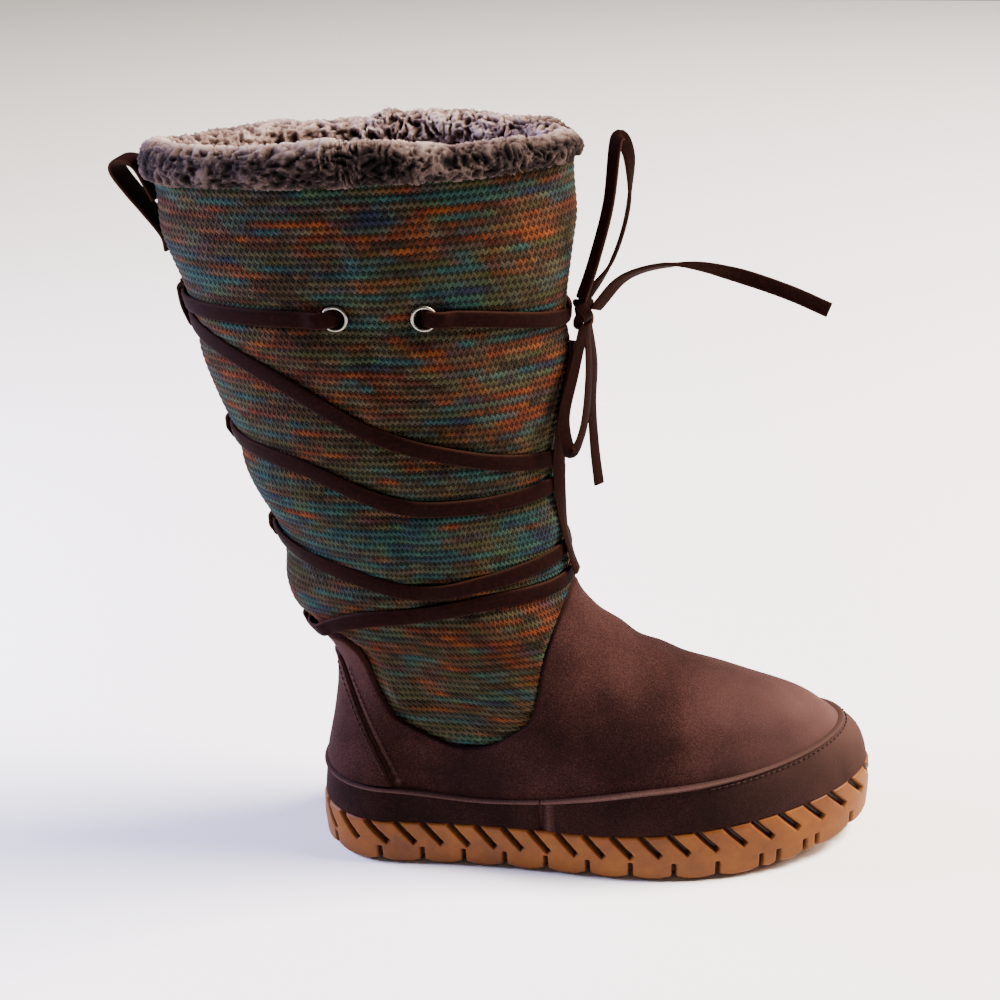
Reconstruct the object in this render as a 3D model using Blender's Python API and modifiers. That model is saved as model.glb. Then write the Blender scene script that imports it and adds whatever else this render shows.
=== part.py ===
"""A tall, fleece-lined winter boot for the right foot, standing empty on its sole.

The frame is in metres with +Z up: +X is towards the toe, -Y is the outer side of the foot
and +Y the inner side. Everything is first built with the heel's back at x = 0 and the ground
at z = 0, and the last step centres the boot on the world origin.

The upper, every layer that lies on it, the laces and the sole are all read from one function,
last_point(), which says where the boot's surface is at a place round it and a height.
"""

import math

import bmesh
import bpy
from mathutils import Matrix, Vector

# Driving dimensions.
LENGTH = 0.272  # outsole, heel to toe
BALL_WIDTH = 0.096  # outsole at the ball
HEEL_WIDTH = 0.074  # outsole at the heel
SOLE_HEIGHT = 0.0240  # ground to the top edge of the sole, at the heel
TOE_LIFT = 0.015  # how much higher that edge is at the toe
TOE_SPRING = 0.011  # how far the toe's underside is off the ground
SPRING_START = 0.69  # where the underside starts to rise, as a share of LENGTH
SOLE_LEDGE = 0.005  # sole edge outside the upper's own edge
ANKLE_HEIGHT = 0.140  # where the foot's sections end and the shaft's begin
COLLAR_HEIGHT = 0.334  # top edge of the upper, half way along it
COLLAR_TILT = 0.009  # how much higher that edge is at the front than at the back
INSTEP_DEPTH = 0.130  # shaft, back to front, just above the foot
COLLAR_DEPTH = 0.180  # shaft, back to front, at the collar
COLLAR_LEAN = 0.049  # how far the collar reaches back past the heel
SHAFT_BREADTH = 0.086  # shaft, side to side, at half height
WALL = 0.0035  # knit with its lining, and the lined vamp
GAP = 0.00035  # between two pieces that touch

SUEDE = 0.0015  # thickness of the suede foot
SUEDE_FRONT_TOP = 0.141  # its top edge over the instep
SUEDE_BACK_TOP = 0.118  # its top edge at the heel's back
SUEDE_DIP = 0.064  # the lowest point of its cut-out on either side
COUNTER = 0.0015  # thickness of the heel counter
COUNTER_TOP = 0.104
RAND = 0.0016  # thickness of the rubbery suede strip above the sole
RAND_HEIGHT = 0.0175  # of that strip at the heel
RAND_SEAM = 0.415  # where its two pieces meet, as a share of LENGTH

INSOLE = 0.006
INSOLE_EASE = 0.0006  # between the footbed and the upper's wall

NOTCH_PITCH = 0.014
NOTCH_LENGTH = 0.0150
NOTCH_WIDTH = 0.0028
NOTCH_DEPTH = 0.0019
NOTCH_LEAN = 42.0  # degrees from upright
SIPE_PITCH = 0.0203
SIPE_HEIGHT = 0.0105
SIPE_WIDTH = 0.0022
SOLE_ROUND = 0.0030  # rounding of the sole's lower edge

CUFF_RADIUS = 0.0066  # of the fleece roll round the collar
CUFF_DROP = 0.034  # how far the fleece shows inside the collar
CUFF_LUMPS = 9  # soft lumps round it
CUFF_LUMP = 0.0008

LACE_WIDTH = 0.0080
LACE_THICK = 0.0019
STRAND_WIDTH = 0.0068  # the lace that runs down the front
STRAND_TURN = 0.045  # how far that lace hangs to the outer side, in turns
STRAND_LINE = (0.20, 0.85, 1.00, 0.90, 0.60)  # shares of that, from its top to its foot

EYELET_OUTER = 0.0118
EYELET_WIRE = 0.0030
EYELET_HEIGHT = 0.277
EYELET_PLACES = (0.034, 0.071)  # x of the rear and front one of each side
EYELET_BORE = 0.0052

KEEPER_FOOT = 0.0022  # how far a keeper's feet reach past the lace, up and down
KEEPER_WIDTH = 0.0090
KEEPER_THICK = 0.0013

TAB_WIDTH = 0.019
TAB_THICK = 0.0020
TAB_REACH = 0.016  # how far the pull tab's fold stands out behind the collar
TAB_FOOT = 0.296  # where its outer leg is sewn on

ROUND_PER_SIDE = 16  # points from the back to the front along one side
REAR_POINTS, MIDDLE_POINTS = 4, 4

# Horizontal sections of the foot, as shares: level of ANKLE_HEIGHT, back and front of LENGTH,
# end of the heel's curve and start of the toe's curve of LENGTH, half-widths at the heel of
# HEEL_WIDTH and at the ball, outer and inner side, of BALL_WIDTH, shift of the tip to the
# inner side of BALL_WIDTH, and how much of the arch's pinch is left.
FOOT_SECTIONS = (
    # level   back    front   heel    toe    heel_w  outer   inner   tip    arch
    (0.155, 0.0184, 0.9816, 0.140, 0.610, 0.440, 0.450, 0.420, 0.094, 1.00),
    (0.245, 0.0213, 0.9750, 0.140, 0.600, 0.455, 0.458, 0.428, 0.094, 0.90),
    (0.330, 0.0250, 0.9640, 0.140, 0.585, 0.450, 0.454, 0.422, 0.090, 0.75),
    (0.400, 0.0330, 0.9420, 0.145, 0.560, 0.437, 0.440, 0.408, 0.080, 0.60),
    (0.457, 0.0400, 0.9180, 0.150, 0.530, 0.426, 0.425, 0.396, 0.068, 0.45),
    (0.514, 0.0460, 0.8830, 0.155, 0.490, 0.420, 0.412, 0.388, 0.052, 0.30),
    (0.557, 0.0500, 0.8200, 0.160, 0.455, 0.420, 0.402, 0.380, 0.036, 0.20),
    (0.600, 0.0535, 0.7390, 0.170, 0.425, 0.424, 0.394, 0.376, 0.024, 0.10),
    (0.664, 0.0560, 0.6560, 0.180, 0.390, 0.432, 0.388, 0.374, 0.012, 0.00),
    (0.721, 0.0545, 0.5940, 0.190, 0.360, 0.446, 0.385, 0.376, 0.004, 0.00),
    (0.786, 0.0400, 0.5440, 0.200, 0.335, 0.462, 0.386, 0.382, 0.000, 0.00),
    (0.850, 0.0160, 0.5050, 0.200, 0.315, 0.486, 0.392, 0.390, 0.000, 0.00),
    (0.914, -0.0050, 0.4770, 0.190, 0.300, 0.502, 0.397, 0.396, 0.000, 0.00),
)
# Horizontal sections of the shaft, as shares: level from ANKLE_HEIGHT to COLLAR_HEIGHT, lean
# back of COLLAR_LEAN, depth from INSTEP_DEPTH to COLLAR_DEPTH, and half-breadth of
# SHAFT_BREADTH.
SHAFT_SECTIONS = (
    # level  lean   depth  half
    (0.00, 0.090, 0.000, 0.448),
    (0.06, 0.120, 0.010, 0.458),
    (0.15, 0.210, 0.050, 0.470),
    (0.30, 0.400, 0.225, 0.486),
    (0.46, 0.585, 0.435, 0.500),
    (0.62, 0.740, 0.640, 0.512),
    (0.80, 0.885, 0.830, 0.530),
    (1.00, 1.000, 1.000, 0.552),
)
# The suede's top edge on either side: places as shares of LENGTH, and heights as shares of
# the way from SUEDE_DIP up to SUEDE_BACK_TOP, before the dip, and to SUEDE_FRONT_TOP, after it.
SUEDE_LINE = (
    (0.081, 1.000), (0.103, 0.907), (0.118, 0.778), (0.132, 0.556), (0.151, 0.352),
    (0.165, 0.259), (0.195, 0.167), (0.224, 0.093), (0.257, 0.020), (0.287, 0.000),
    (0.316, 0.015), (0.342, 0.052), (0.371, 0.130), (0.397, 0.208), (0.408, 0.299),
    (0.4155, 0.416), (0.423, 0.610), (0.4375, 0.740), (0.452, 0.844), (0.475, 1.000),
)
DIP_ROW = 9  # the row of SUEDE_LINE at the lowest point
# How tall the fleece roll stands, as shares, at eighths of the way round from the back by
# the outer side: it is slack and tall near the back and thin at the front.
CUFF_RISE = (1.05, 1.36, 1.26, 0.96, 0.66, 0.84, 1.16, 0.92)
ARCH_PINCH = 0.0065  # how far the waist draws in on the inner side, at the sole
OUTER_PINCH = 0.0015  # the same on the outer side

# Lace bars round the shaft: their heights as shares of COLLAR_HEIGHT, at the back, at the
# quarters of the way along the side, and at the front.
LACE_BARS = (
    (0.799, 0.743, 0.672, 0.637, 0.608),
    (0.642, 0.622, 0.575, 0.569, 0.573),
    (0.497, 0.469, 0.4445, 0.4565, 0.473),
    (0.352, 0.393, 0.410, 0.4260, 0.428),
)
LACE_TOP = (0.8235, 0.829)  # the uppermost lace, at the back and at its eyelet
KNOT_HEIGHT = 0.268


# The boot's own surface.
def blend(low, high, share):
    return low + (high - low) * share


def ease(share):
    share = min(1.0, max(0.0, share))
    return share * share * (3.0 - 2.0 * share)


def section_rows():
    """All sections in metres: level, back, front, heel's end, toe's start, half-widths, tip, arch."""
    rows = []
    for level, back, front, heel, toe, heel_w, outer, inner, tip, arch in FOOT_SECTIONS:
        rows.append((level * ANKLE_HEIGHT, back * LENGTH, front * LENGTH, heel * LENGTH,
                     toe * LENGTH, heel_w * HEEL_WIDTH, outer * BALL_WIDTH,
                     inner * BALL_WIDTH, tip * BALL_WIDTH, arch))
    for level, lean, depth, half in SHAFT_SECTIONS:
        back = -lean * COLLAR_LEAN
        deep = blend(INSTEP_DEPTH, COLLAR_DEPTH, depth)
        wide = half * SHAFT_BREADTH
        rows.append((blend(ANKLE_HEIGHT, COLLAR_HEIGHT, level), back, back + deep,
                     back + 0.46 * deep, back + 0.56 * deep, wide, wide, wide, 0.0, 0.0))
    return rows


ROWS = section_rows()


def section_at(level):
    """The section at a level, by a smooth curve through the rows."""
    index = 0
    while index < len(ROWS) - 2 and level > ROWS[index + 1][0]:
        index += 1
    lower, upper = ROWS[index], ROWS[index + 1]
    before = ROWS[max(0, index - 1)]
    after = ROWS[min(len(ROWS) - 1, index + 2)]
    span = upper[0] - lower[0]
    t = (level - lower[0]) / span
    values = []
    for k in range(1, len(lower)):
        slope_in = (upper[k] - before[k]) / (upper[0] - before[0]) * span
        slope_out = (after[k] - lower[k]) / (after[0] - lower[0]) * span
        if t < 0.0 or t > 1.0:
            edge = lower[k] if t < 0.0 else upper[k]
            slope = slope_in if t < 0.0 else slope_out
            values.append(edge + slope * (t if t < 0.0 else t - 1.0))
            continue
        values.append((2 * t**3 - 3 * t**2 + 1) * lower[k] + (t**3 - 2 * t**2 + t) * slope_in
                      + (3 * t**2 - 2 * t**3) * upper[k] + (t**3 - t**2) * slope_out)
    return values


def toe_rise(x):
    """How much higher the sole's top edge is at x than at the heel."""
    share = max(0.0, x / LENGTH - 0.5) / 0.5
    return TOE_LIFT * share**1.5


def sole_top(x):
    return SOLE_HEIGHT + toe_rise(x)


def underside(x):
    share = max(0.0, x / LENGTH - SPRING_START) / (1.0 - SPRING_START)
    return TOE_SPRING * share**2


LOWEST = SOLE_HEIGHT + GAP  # the upper's lower edge, on the sole
REAR_SHARE = REAR_POINTS / ROUND_PER_SIDE
FRONT_SHARE = (REAR_POINTS + MIDDLE_POINTS) / ROUND_PER_SIDE


def last_point(turn, level):
    """The surface at a turn, 0 at the back, 0.5 at the front by the outer side, and a level.

    A level is a height, except near the sole, whose top edge the lowest levels follow.
    """
    turn = turn % 1.0
    side = -1.0 if turn < 0.5 else 1.0
    along = 2.0 * turn if turn < 0.5 else 2.0 - 2.0 * turn
    back, front, heel, toe, heel_w, outer, inner, tip, arch = section_at(level)
    ball_w = outer if side < 0.0 else inner
    if side > 0.0:
        toe = toe + 0.045 * LENGTH * arch  # the ball lies further forward on the inner side
    pinch = (ARCH_PINCH if side > 0.0 else OUTER_PINCH) * arch
    if along < REAR_SHARE:
        angle = 0.5 * math.pi * along / REAR_SHARE
        x = heel - (heel - back) * math.cos(angle)
        half = heel_w * math.sin(angle)
        shift = 0.0
    elif along < FRONT_SHARE:
        share = (along - REAR_SHARE) / (FRONT_SHARE - REAR_SHARE)
        x = blend(heel, toe, share)
        half = blend(heel_w, ball_w, ease(share)) - pinch * math.sin(math.pi * share)**2
        shift = 0.0
    else:
        angle = 0.5 * math.pi * (along - FRONT_SHARE) / (1.0 - FRONT_SHARE)
        x = toe + (front - toe) * math.sin(angle)
        half = ball_w * math.cos(angle)
        shift = tip * math.sin(angle)**2
    fade = 1.0 - ease((level - LOWEST) / (0.5 * ANKLE_HEIGHT - LOWEST))
    near_top = ease((level - ANKLE_HEIGHT) / (COLLAR_HEIGHT - ANKLE_HEIGHT) * 2.0 - 1.0)
    tilt = COLLAR_TILT * ((x - back) / (front - back) - 0.5) * near_top
    return Vector((x, side * half + shift, level + toe_rise(x) * fade + tilt))


def normal_at(turn, level):
    step_t, step_l = 0.002, 0.0005
    across = last_point(turn + step_t, level) - last_point(turn - step_t, level)
    up = last_point(turn, level + step_l) - last_point(turn, level - step_l)
    return across.cross(up).normalized()


def layer_point(turn, height, out):
    """A point that lies a distance outside the surface, at a turn and a true height."""
    level = height
    for _ in range(12):
        level += 0.8 * (height - last_point(turn, level).z)
    return last_point(turn, level) + normal_at(turn, level) * out


def turn_at(x, height, side):
    """The turn at which the surface has this x, on the outer (-1) or inner (+1) side."""
    low, high = 0.001, 0.499
    for _ in range(30):
        middle = 0.5 * (low + high)
        turn = middle if side < 0 else 1.0 - middle
        if layer_point(turn, height, 0.0).x < x:
            low = middle
        else:
            high = middle
    return low if side < 0 else 1.0 - low


TURNS = [k / (2.0 * ROUND_PER_SIDE) for k in range(2 * ROUND_PER_SIDE)]


# Making objects.
for old in list(bpy.data.objects):
    bpy.data.objects.remove(old, do_unlink=True)

boot = bpy.data.collections.new("tall_boot")
cutters = bpy.data.collections.new("cutters")
cutters.hide_render = True
for collection in (boot, cutters):
    bpy.context.scene.collection.children.link(collection)
root = bpy.data.objects.new("boot_origin", None)
boot.objects.link(root)


def material(name, colour, rough, metal=0.0):
    made = bpy.data.materials.new(name)
    made.use_nodes = True
    shader = made.node_tree.nodes["Principled BSDF"]
    shader.inputs["Base Color"].default_value = (*colour, 1.0)
    shader.inputs["Roughness"].default_value = rough
    shader.inputs["Metallic"].default_value = metal
    return made


GUM = material("gum_rubber", (0.43, 0.20, 0.07), 0.55)
KNIT = material("space_dyed_knit", (0.10, 0.15, 0.13), 0.9)
BROWN = material("chocolate_suede", (0.055, 0.025, 0.020), 0.85)
LEATHER = material("dark_lace_leather", (0.022, 0.012, 0.012), 0.5)
FLEECE = material("grey_brown_fleece", (0.16, 0.12, 0.11), 0.95)
STEEL = material("eyelet_steel", (0.62, 0.62, 0.60), 0.3, 1.0)
FOOTBED = material("felt_footbed", (0.20, 0.17, 0.15), 0.95)


def mesh_object(name, points, faces, finish, smooth=True):
    mesh = bpy.data.meshes.new(name)
    mesh.from_pydata([tuple(p) for p in points], [], faces)
    work = bmesh.new()
    work.from_mesh(mesh)
    bmesh.ops.recalc_face_normals(work, faces=work.faces)
    work.to_mesh(mesh)
    work.free()
    if smooth:
        mesh.shade_smooth()
        mesh.set_sharp_from_angle(angle=math.radians(40))
    mesh.materials.append(finish)
    made = bpy.data.objects.new(name, mesh)
    made.parent = root
    boot.objects.link(made)
    return made


def as_cutter(made):
    boot.objects.unlink(made)
    cutters.objects.link(made)
    made.hide_render = True
    made.display_type = "WIRE"
    return made


def boolean(target, other, operation):
    change = target.modifiers.new(operation.lower(), "BOOLEAN")
    change.operation = operation
    change.object = other
    change.solver = "EXACT"


def sheet(name, rows, closed, thick, outward, finish):
    """An open surface from rows of points, given its thickness by Solidify."""
    wide = len(rows[0])
    faces = []
    for r in range(len(rows) - 1):
        for c in range(wide if closed else wide - 1):
            d = (c + 1) % wide
            faces.append((r * wide + c, r * wide + d, (r + 1) * wide + d, (r + 1) * wide + c))
    mesh = bpy.data.meshes.new(name)
    mesh.from_pydata([tuple(p) for row in rows for p in row], [], faces)
    mesh.shade_smooth()
    mesh.materials.append(finish)
    made = bpy.data.objects.new(name, mesh)
    made.parent = root
    boot.objects.link(made)
    solid = made.modifiers.new("wall", "SOLIDIFY")
    solid.thickness = thick
    solid.offset = 1.0 if outward else -1.0
    solid.use_even_offset = True
    return made


def loft(name, sections, closed, finish):
    """A solid through sections of equal count, closed into a ring or capped at both ends."""
    count = len(sections[0])
    faces = []
    spans = len(sections) if closed else len(sections) - 1
    for s in range(spans):
        n = (s + 1) % len(sections)
        for k in range(count):
            m = (k + 1) % count
            faces.append((s * count + k, s * count + m, n * count + m, n * count + k))
    if not closed:
        last = (len(sections) - 1) * count
        faces.append(tuple(range(count)))
        faces.append(tuple(last + k for k in range(count)))
    points = [p for section in sections for p in section]
    return mesh_object(name, points, faces, finish)


def stack(name, rings, finish):
    """A solid from rings on top of each other, its two ends closed by strips from side to side."""
    count = len(rings[0])
    faces = []
    for s in range(len(rings) - 1):
        for k in range(count):
            m = (k + 1) % count
            faces.append((s * count + k, s * count + m, (s + 1) * count + m, (s + 1) * count + k))
    half = count // 2
    for base in (0, (len(rings) - 1) * count):
        for k in range(half):
            left, left_next = base + k, base + k + 1
            right = base + (count - k) % count
            right_next = base + count - k - 1
            corners = []
            for corner in (left, left_next, right_next, right):
                if corner not in corners:
                    corners.append(corner)
            faces.append(tuple(corners))
    return mesh_object(name, [p for ring in rings for p in ring], faces, finish)


def band(name, path, normals, width, thick, closed, finish):
    """A flat strip along a path, lying square to the normals, its underside on the path."""
    sections = []
    for k, point in enumerate(path):
        after = path[(k + 1) % len(path)] if closed or k < len(path) - 1 else point
        before = path[k - 1] if closed or k > 0 else point
        tangent = (after - before).normalized()
        normal = (normals[k] - tangent * normals[k].dot(tangent)).normalized()
        across = tangent.cross(normal) * (0.5 * width)
        top = normal * thick
        sections.append([point - across, point + across, point + across + top,
                         point - across + top])
    return loft(name, sections, closed, finish)


# Sole.
def outline(out, height_of):
    """A ring round the foot, a distance outside the upper's edge, at a height given by x."""
    ring = []
    base = ROWS[0][0]
    for turn in TURNS:
        here = last_point(turn, base)
        along = last_point(turn + 0.002, base) - last_point(turn - 0.002, base)
        away = Vector((along.y, -along.x, 0.0)).normalized()
        spot = here + away * out
        ring.append(Vector((spot.x, spot.y, height_of(spot.x))))
    return ring


def side_height(share):
    return lambda x: blend(underside(x), sole_top(x), share)


outsole = stack("outsole", [
    outline(SOLE_LEDGE - SOLE_ROUND - 0.0010, underside),
    outline(SOLE_LEDGE - 0.0012, lambda x: underside(x) + 0.45 * SOLE_ROUND),
    outline(SOLE_LEDGE, lambda x: underside(x) + 1.6 * SOLE_ROUND),
    outline(SOLE_LEDGE - 0.0003, side_height(0.62)),
    outline(SOLE_LEDGE - 0.0006, lambda x: sole_top(x) - 0.0012),
    outline(SOLE_LEDGE - 0.0016, sole_top),
    outline(-2.0 * WALL, sole_top),
], GUM)


def box_mesh(work, centre, along, out, length, depth, width):
    """Adds a box with its length along one direction and its depth along another."""
    across = along.cross(out).normalized()
    turn = Matrix((along, out, across)).transposed().to_4x4()
    size = Matrix.Diagonal((length, depth, width, 1.0))
    bmesh.ops.create_cube(work, size=1.0, matrix=Matrix.Translation(centre) @ turn @ size)


def finish_cutter(name, work):
    mesh = bpy.data.meshes.new(name)
    work.to_mesh(mesh)
    work.free()
    made = bpy.data.objects.new(name, mesh)
    made.parent = root
    boot.objects.link(made)
    return as_cutter(made)


# The notches climb the sole's side all the way round, leaning the same way as one goes round it.
edge = outline(SOLE_LEDGE, sole_top)
lengths = [0.0]
for k in range(len(edge)):
    lengths.append(lengths[-1] + (edge[(k + 1) % len(edge)] - edge[k]).length)
notch_count = round(lengths[-1] / NOTCH_PITCH)


def edge_place(distance):
    """The point and direction on the sole's edge at a distance along it from the back."""
    k = 0
    while k < len(edge) - 1 and distance > lengths[k + 1]:
        k += 1
    start, end = edge[k], edge[(k + 1) % len(edge)]
    share = (distance - lengths[k]) / (lengths[k + 1] - lengths[k])
    return start.lerp(end, share), (end - start).normalized()


notches = bmesh.new()
lean = math.radians(NOTCH_LEAN)
for k in range(notch_count):
    spot, forward = edge_place((k + 0.5) * lengths[-1] / notch_count)
    away = Vector((forward.y, -forward.x, 0.0)).normalized()
    flat = Vector((forward.x, forward.y, 0.0)).normalized()
    slope = flat * math.sin(lean) - Vector((0.0, 0.0, math.cos(lean)))
    middle = spot - Vector((0.0, 0.0, 0.5 * NOTCH_LENGTH * math.cos(lean) - 0.0004))
    deep = NOTCH_DEPTH + 0.004
    centre = middle + away * (0.5 * deep - NOTCH_DEPTH)
    box_mesh(notches, centre, slope, away, NOTCH_LENGTH, deep, NOTCH_WIDTH)
boolean(outsole, finish_cutter("notch_cutters", notches), "DIFFERENCE")

# The sipes run right across under the sole and show as short upright cuts at its lower edge.
sipes = bmesh.new()
sipe_count = int((LENGTH - 0.012) / SIPE_PITCH)
for k in range(sipe_count):
    x = 0.0135 + k * SIPE_PITCH
    floor = underside(x)
    centre = Vector((x, 0.0, floor + 0.5 * SIPE_HEIGHT - 0.002))
    box_mesh(sipes, centre, Vector((0.0, 0.0, 1.0)), Vector((0.0, 1.0, 0.0)),
             SIPE_HEIGHT + 0.004, 1.4 * BALL_WIDTH, SIPE_WIDTH)
boolean(outsole, finish_cutter("sipe_cutters", sipes), "DIFFERENCE")

# Upper.
# Its lowest row stands on the sole and follows its rising top edge.
UPPER_LEVELS = (0.0, 0.10, 0.19, 0.27, 0.335, 0.385, 0.435, 0.495, 0.565, 0.640, 0.725, 0.815, 0.905,
                1.0)
SHAFT_LEVELS = (0.10, 0.22, 0.36, 0.52, 0.68, 0.84, 1.0)
upper_levels = [blend(LOWEST, ANKLE_HEIGHT, share) for share in UPPER_LEVELS]
upper_levels += [blend(ANKLE_HEIGHT, COLLAR_HEIGHT, share) for share in SHAFT_LEVELS]
upper_rows = [[last_point(turn, level) for turn in TURNS] for level in upper_levels]
upper = sheet("upper", upper_rows, True, WALL, False, KNIT)

# The footbed fills the upper's inside on top of the sole.
insole_rings = []
for rise, draft in ((0.0, 0.0008), (INSOLE, 0.0026)):
    ring = outline(-WALL - INSOLE_EASE - draft, lambda x: sole_top(x) + GAP + rise)
    insole_rings.append(ring)
insole = stack("insole", insole_rings, FOOTBED)


# Suede over the foot.
def suede_edge(x):
    """Height of the suede's top edge at x: high at the heel and the instep, low between them."""
    place = min(SUEDE_LINE[-1][0], max(SUEDE_LINE[0][0], x / LENGTH))
    row = 0
    while place > SUEDE_LINE[row + 1][0]:
        row += 1
    (start, low), (end, high) = SUEDE_LINE[row], SUEDE_LINE[row + 1]
    share = blend(low, high, (place - start) / (end - start))
    return blend(SUEDE_DIP, SUEDE_BACK_TOP if row < DIP_ROW else SUEDE_FRONT_TOP, share)


def side_prism(name, outline_xz):
    """A cutter with an outline seen from the side, running right across the boot."""
    work = bmesh.new()
    near = [work.verts.new((x, -BALL_WIDTH, z)) for x, z in outline_xz]
    far = [work.verts.new((x, BALL_WIDTH, z)) for x, z in outline_xz]
    work.faces.new(near)
    work.faces.new(far)
    for k in range(len(near)):
        n = (k + 1) % len(near)
        work.faces.new((near[k], near[n], far[n], far[k]))
    bmesh.ops.recalc_face_normals(work, faces=work.faces)
    return finish_cutter(name, work)


def layer_rows(turns, out, top_height):
    """The upper's own rows, a distance outside it, up to just past a height."""
    rows = []
    for level in upper_levels:
        rows.append([last_point(turn, level) + normal_at(turn, level) * out for turn in turns])
        if level > top_height:
            break
    return rows


suede = sheet("suede_foot", layer_rows(TURNS, GAP, SUEDE_FRONT_TOP), True, SUEDE, True, BROWN)
behind, ahead, above = -0.2 * LENGTH, 1.1 * LENGTH, 1.5 * SUEDE_FRONT_TOP
edge_line = [(place * LENGTH, suede_edge(place * LENGTH)) for place, _ in SUEDE_LINE]
boolean(suede, side_prism("suede_cutter", [
    (behind, SUEDE_BACK_TOP), *edge_line, (ahead, SUEDE_FRONT_TOP), (ahead, above),
    (behind, above)]), "DIFFERENCE")


# The strip above the sole, in a front and a heel piece.
def rand_top(x):
    """Height of the strip above the sole at x: it dips in the waist and is tallest at the toe."""
    share = x / LENGTH
    dip = math.exp(-((share - 0.31) / 0.13) ** 2)
    return RAND_HEIGHT * (1.08 - 0.24 * dip + 0.30 * ease((share - 0.40) / 0.22))


over_suede = 2.0 * GAP + SUEDE
seam_x = RAND_SEAM * LENGTH
for name, start, end in (("rand_heel", behind, seam_x - GAP), ("rand_front", seam_x + GAP, ahead)):
    shell = sheet(name, layer_rows(TURNS, over_suede, 0.5 * ANKLE_HEIGHT), True, RAND, True, BROWN)
    inside = [x / 1000.0 for x in range(0, int(1000 * LENGTH), 9) if start < x / 1000.0 < end]
    inside = [start, *inside, end]
    foot = [(x, sole_top(x) + 1.6 * GAP) for x in inside]
    top = [(x, sole_top(x) + rand_top(x)) for x in reversed(inside)]
    boolean(shell, side_prism(f"{name}_cutter", [*foot, *top]), "INTERSECT")

# The heel counter, above the strip. Its front edge slants back as it rises.
heel_turns = [t - 1.0 for t in TURNS[-7:]] + TURNS[:8]
counter = sheet("heel_counter", layer_rows(heel_turns, over_suede, COUNTER_TOP), False,
                COUNTER, True, BROWN)


def counter_foot(x):
    return sole_top(x) + rand_top(x) + 3.0 * GAP


foot_line = [(x / 1000.0, counter_foot(x / 1000.0)) for x in range(int(158 * LENGTH), 0, -8)]
boolean(counter, side_prism("counter_cutter", [
    *foot_line, (behind, counter_foot(0.0)), (behind, COUNTER_TOP),
    (0.066 * LENGTH, COUNTER_TOP), (0.100 * LENGTH, blend(COUNTER_TOP, SOLE_HEIGHT, 0.28))]),
    "INTERSECT")


# Fleece cuff.
cuff_sections = []
for turn in TURNS:
    rim = last_point(turn, COLLAR_HEIGHT)
    away = normal_at(turn, COLLAR_HEIGHT)
    away = Vector((away.x, away.y, 0.0)).normalized()
    lump = CUFF_LUMP * math.sin(2.0 * math.pi * CUFF_LUMPS * turn)
    eighth = int(8.0 * turn)
    tall = CUFF_RADIUS * blend(CUFF_RISE[eighth], CUFF_RISE[(eighth + 1) % 8],
                               ease(8.0 * turn - eighth))
    rise = CUFF_LUMP * math.cos(2.0 * math.pi * (CUFF_LUMPS - 4) * turn)
    inside = WALL + 0.0005
    thick = 1.15 * CUFF_RADIUS
    base = GAP + 0.0002
    shape = (
        (-inside, -CUFF_DROP),
        (-inside, base),
        (0.0003, base + 0.0003),
        (0.0014 + lump, 0.45 * tall + base),
        (0.0006 + lump, 1.20 * tall + base + rise),
        (-0.55 * CUFF_RADIUS, 1.75 * tall + base + rise),
        (-inside - 0.62 * thick, 1.35 * tall + base + rise),
        (-inside - thick - lump, 0.2 * CUFF_RADIUS),
        (-inside - 0.85 * thick + lump, -0.55 * CUFF_DROP),
        (-inside - 0.45 * thick, -CUFF_DROP - 0.001),
    )
    section = []
    for out, up in shape:
        at = last_point(turn, COLLAR_HEIGHT + min(up, 0.0))
        section.append(at + Vector((0.0, 0.0, max(up, 0.0))) + away * out)
    cuff_sections.append(section)
cuff = loft("fleece_cuff", cuff_sections, True, FLEECE)


# Eyelets.
def outward_frame(spot, normal):
    """A matrix that puts its own Z along the normal."""
    return Matrix.Translation(spot) @ normal.to_track_quat("Z", "Y").to_matrix().to_4x4()


eyelet_holes = bmesh.new()
eyelet_spots = {}
for side, word in ((-1, "outer"), (1, "inner")):
    for place, order in zip(EYELET_PLACES, ("rear", "front")):
        turn = turn_at(place, EYELET_HEIGHT, side)
        normal = normal_at(turn, EYELET_HEIGHT)
        spot = layer_point(turn, EYELET_HEIGHT, GAP + 0.5 * EYELET_WIRE + 0.0002)
        eyelet_spots[word, order] = (spot, normal, turn)
        bpy.ops.mesh.primitive_torus_add(major_segments=12, minor_segments=6,
                                         major_radius=0.5 * (EYELET_OUTER - EYELET_WIRE),
                                         minor_radius=0.5 * EYELET_WIRE)
        ring = bpy.context.active_object
        ring.name = f"eyelet_{word}_{order}"
        ring.data.shade_smooth()
        ring.data.materials.append(STEEL)
        ring.matrix_world = outward_frame(spot, normal)
        ring.parent = root
        for owner in list(ring.users_collection):
            owner.objects.unlink(ring)
        boot.objects.link(ring)
        bmesh.ops.create_cone(eyelet_holes, cap_ends=True, segments=12,
                              radius1=0.5 * EYELET_BORE, radius2=0.5 * EYELET_BORE,
                              depth=4.0 * WALL,
                              matrix=outward_frame(layer_point(turn, EYELET_HEIGHT, 0.0), normal))
boolean(upper, finish_cutter("eyelet_holes", eyelet_holes), "DIFFERENCE")


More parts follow.
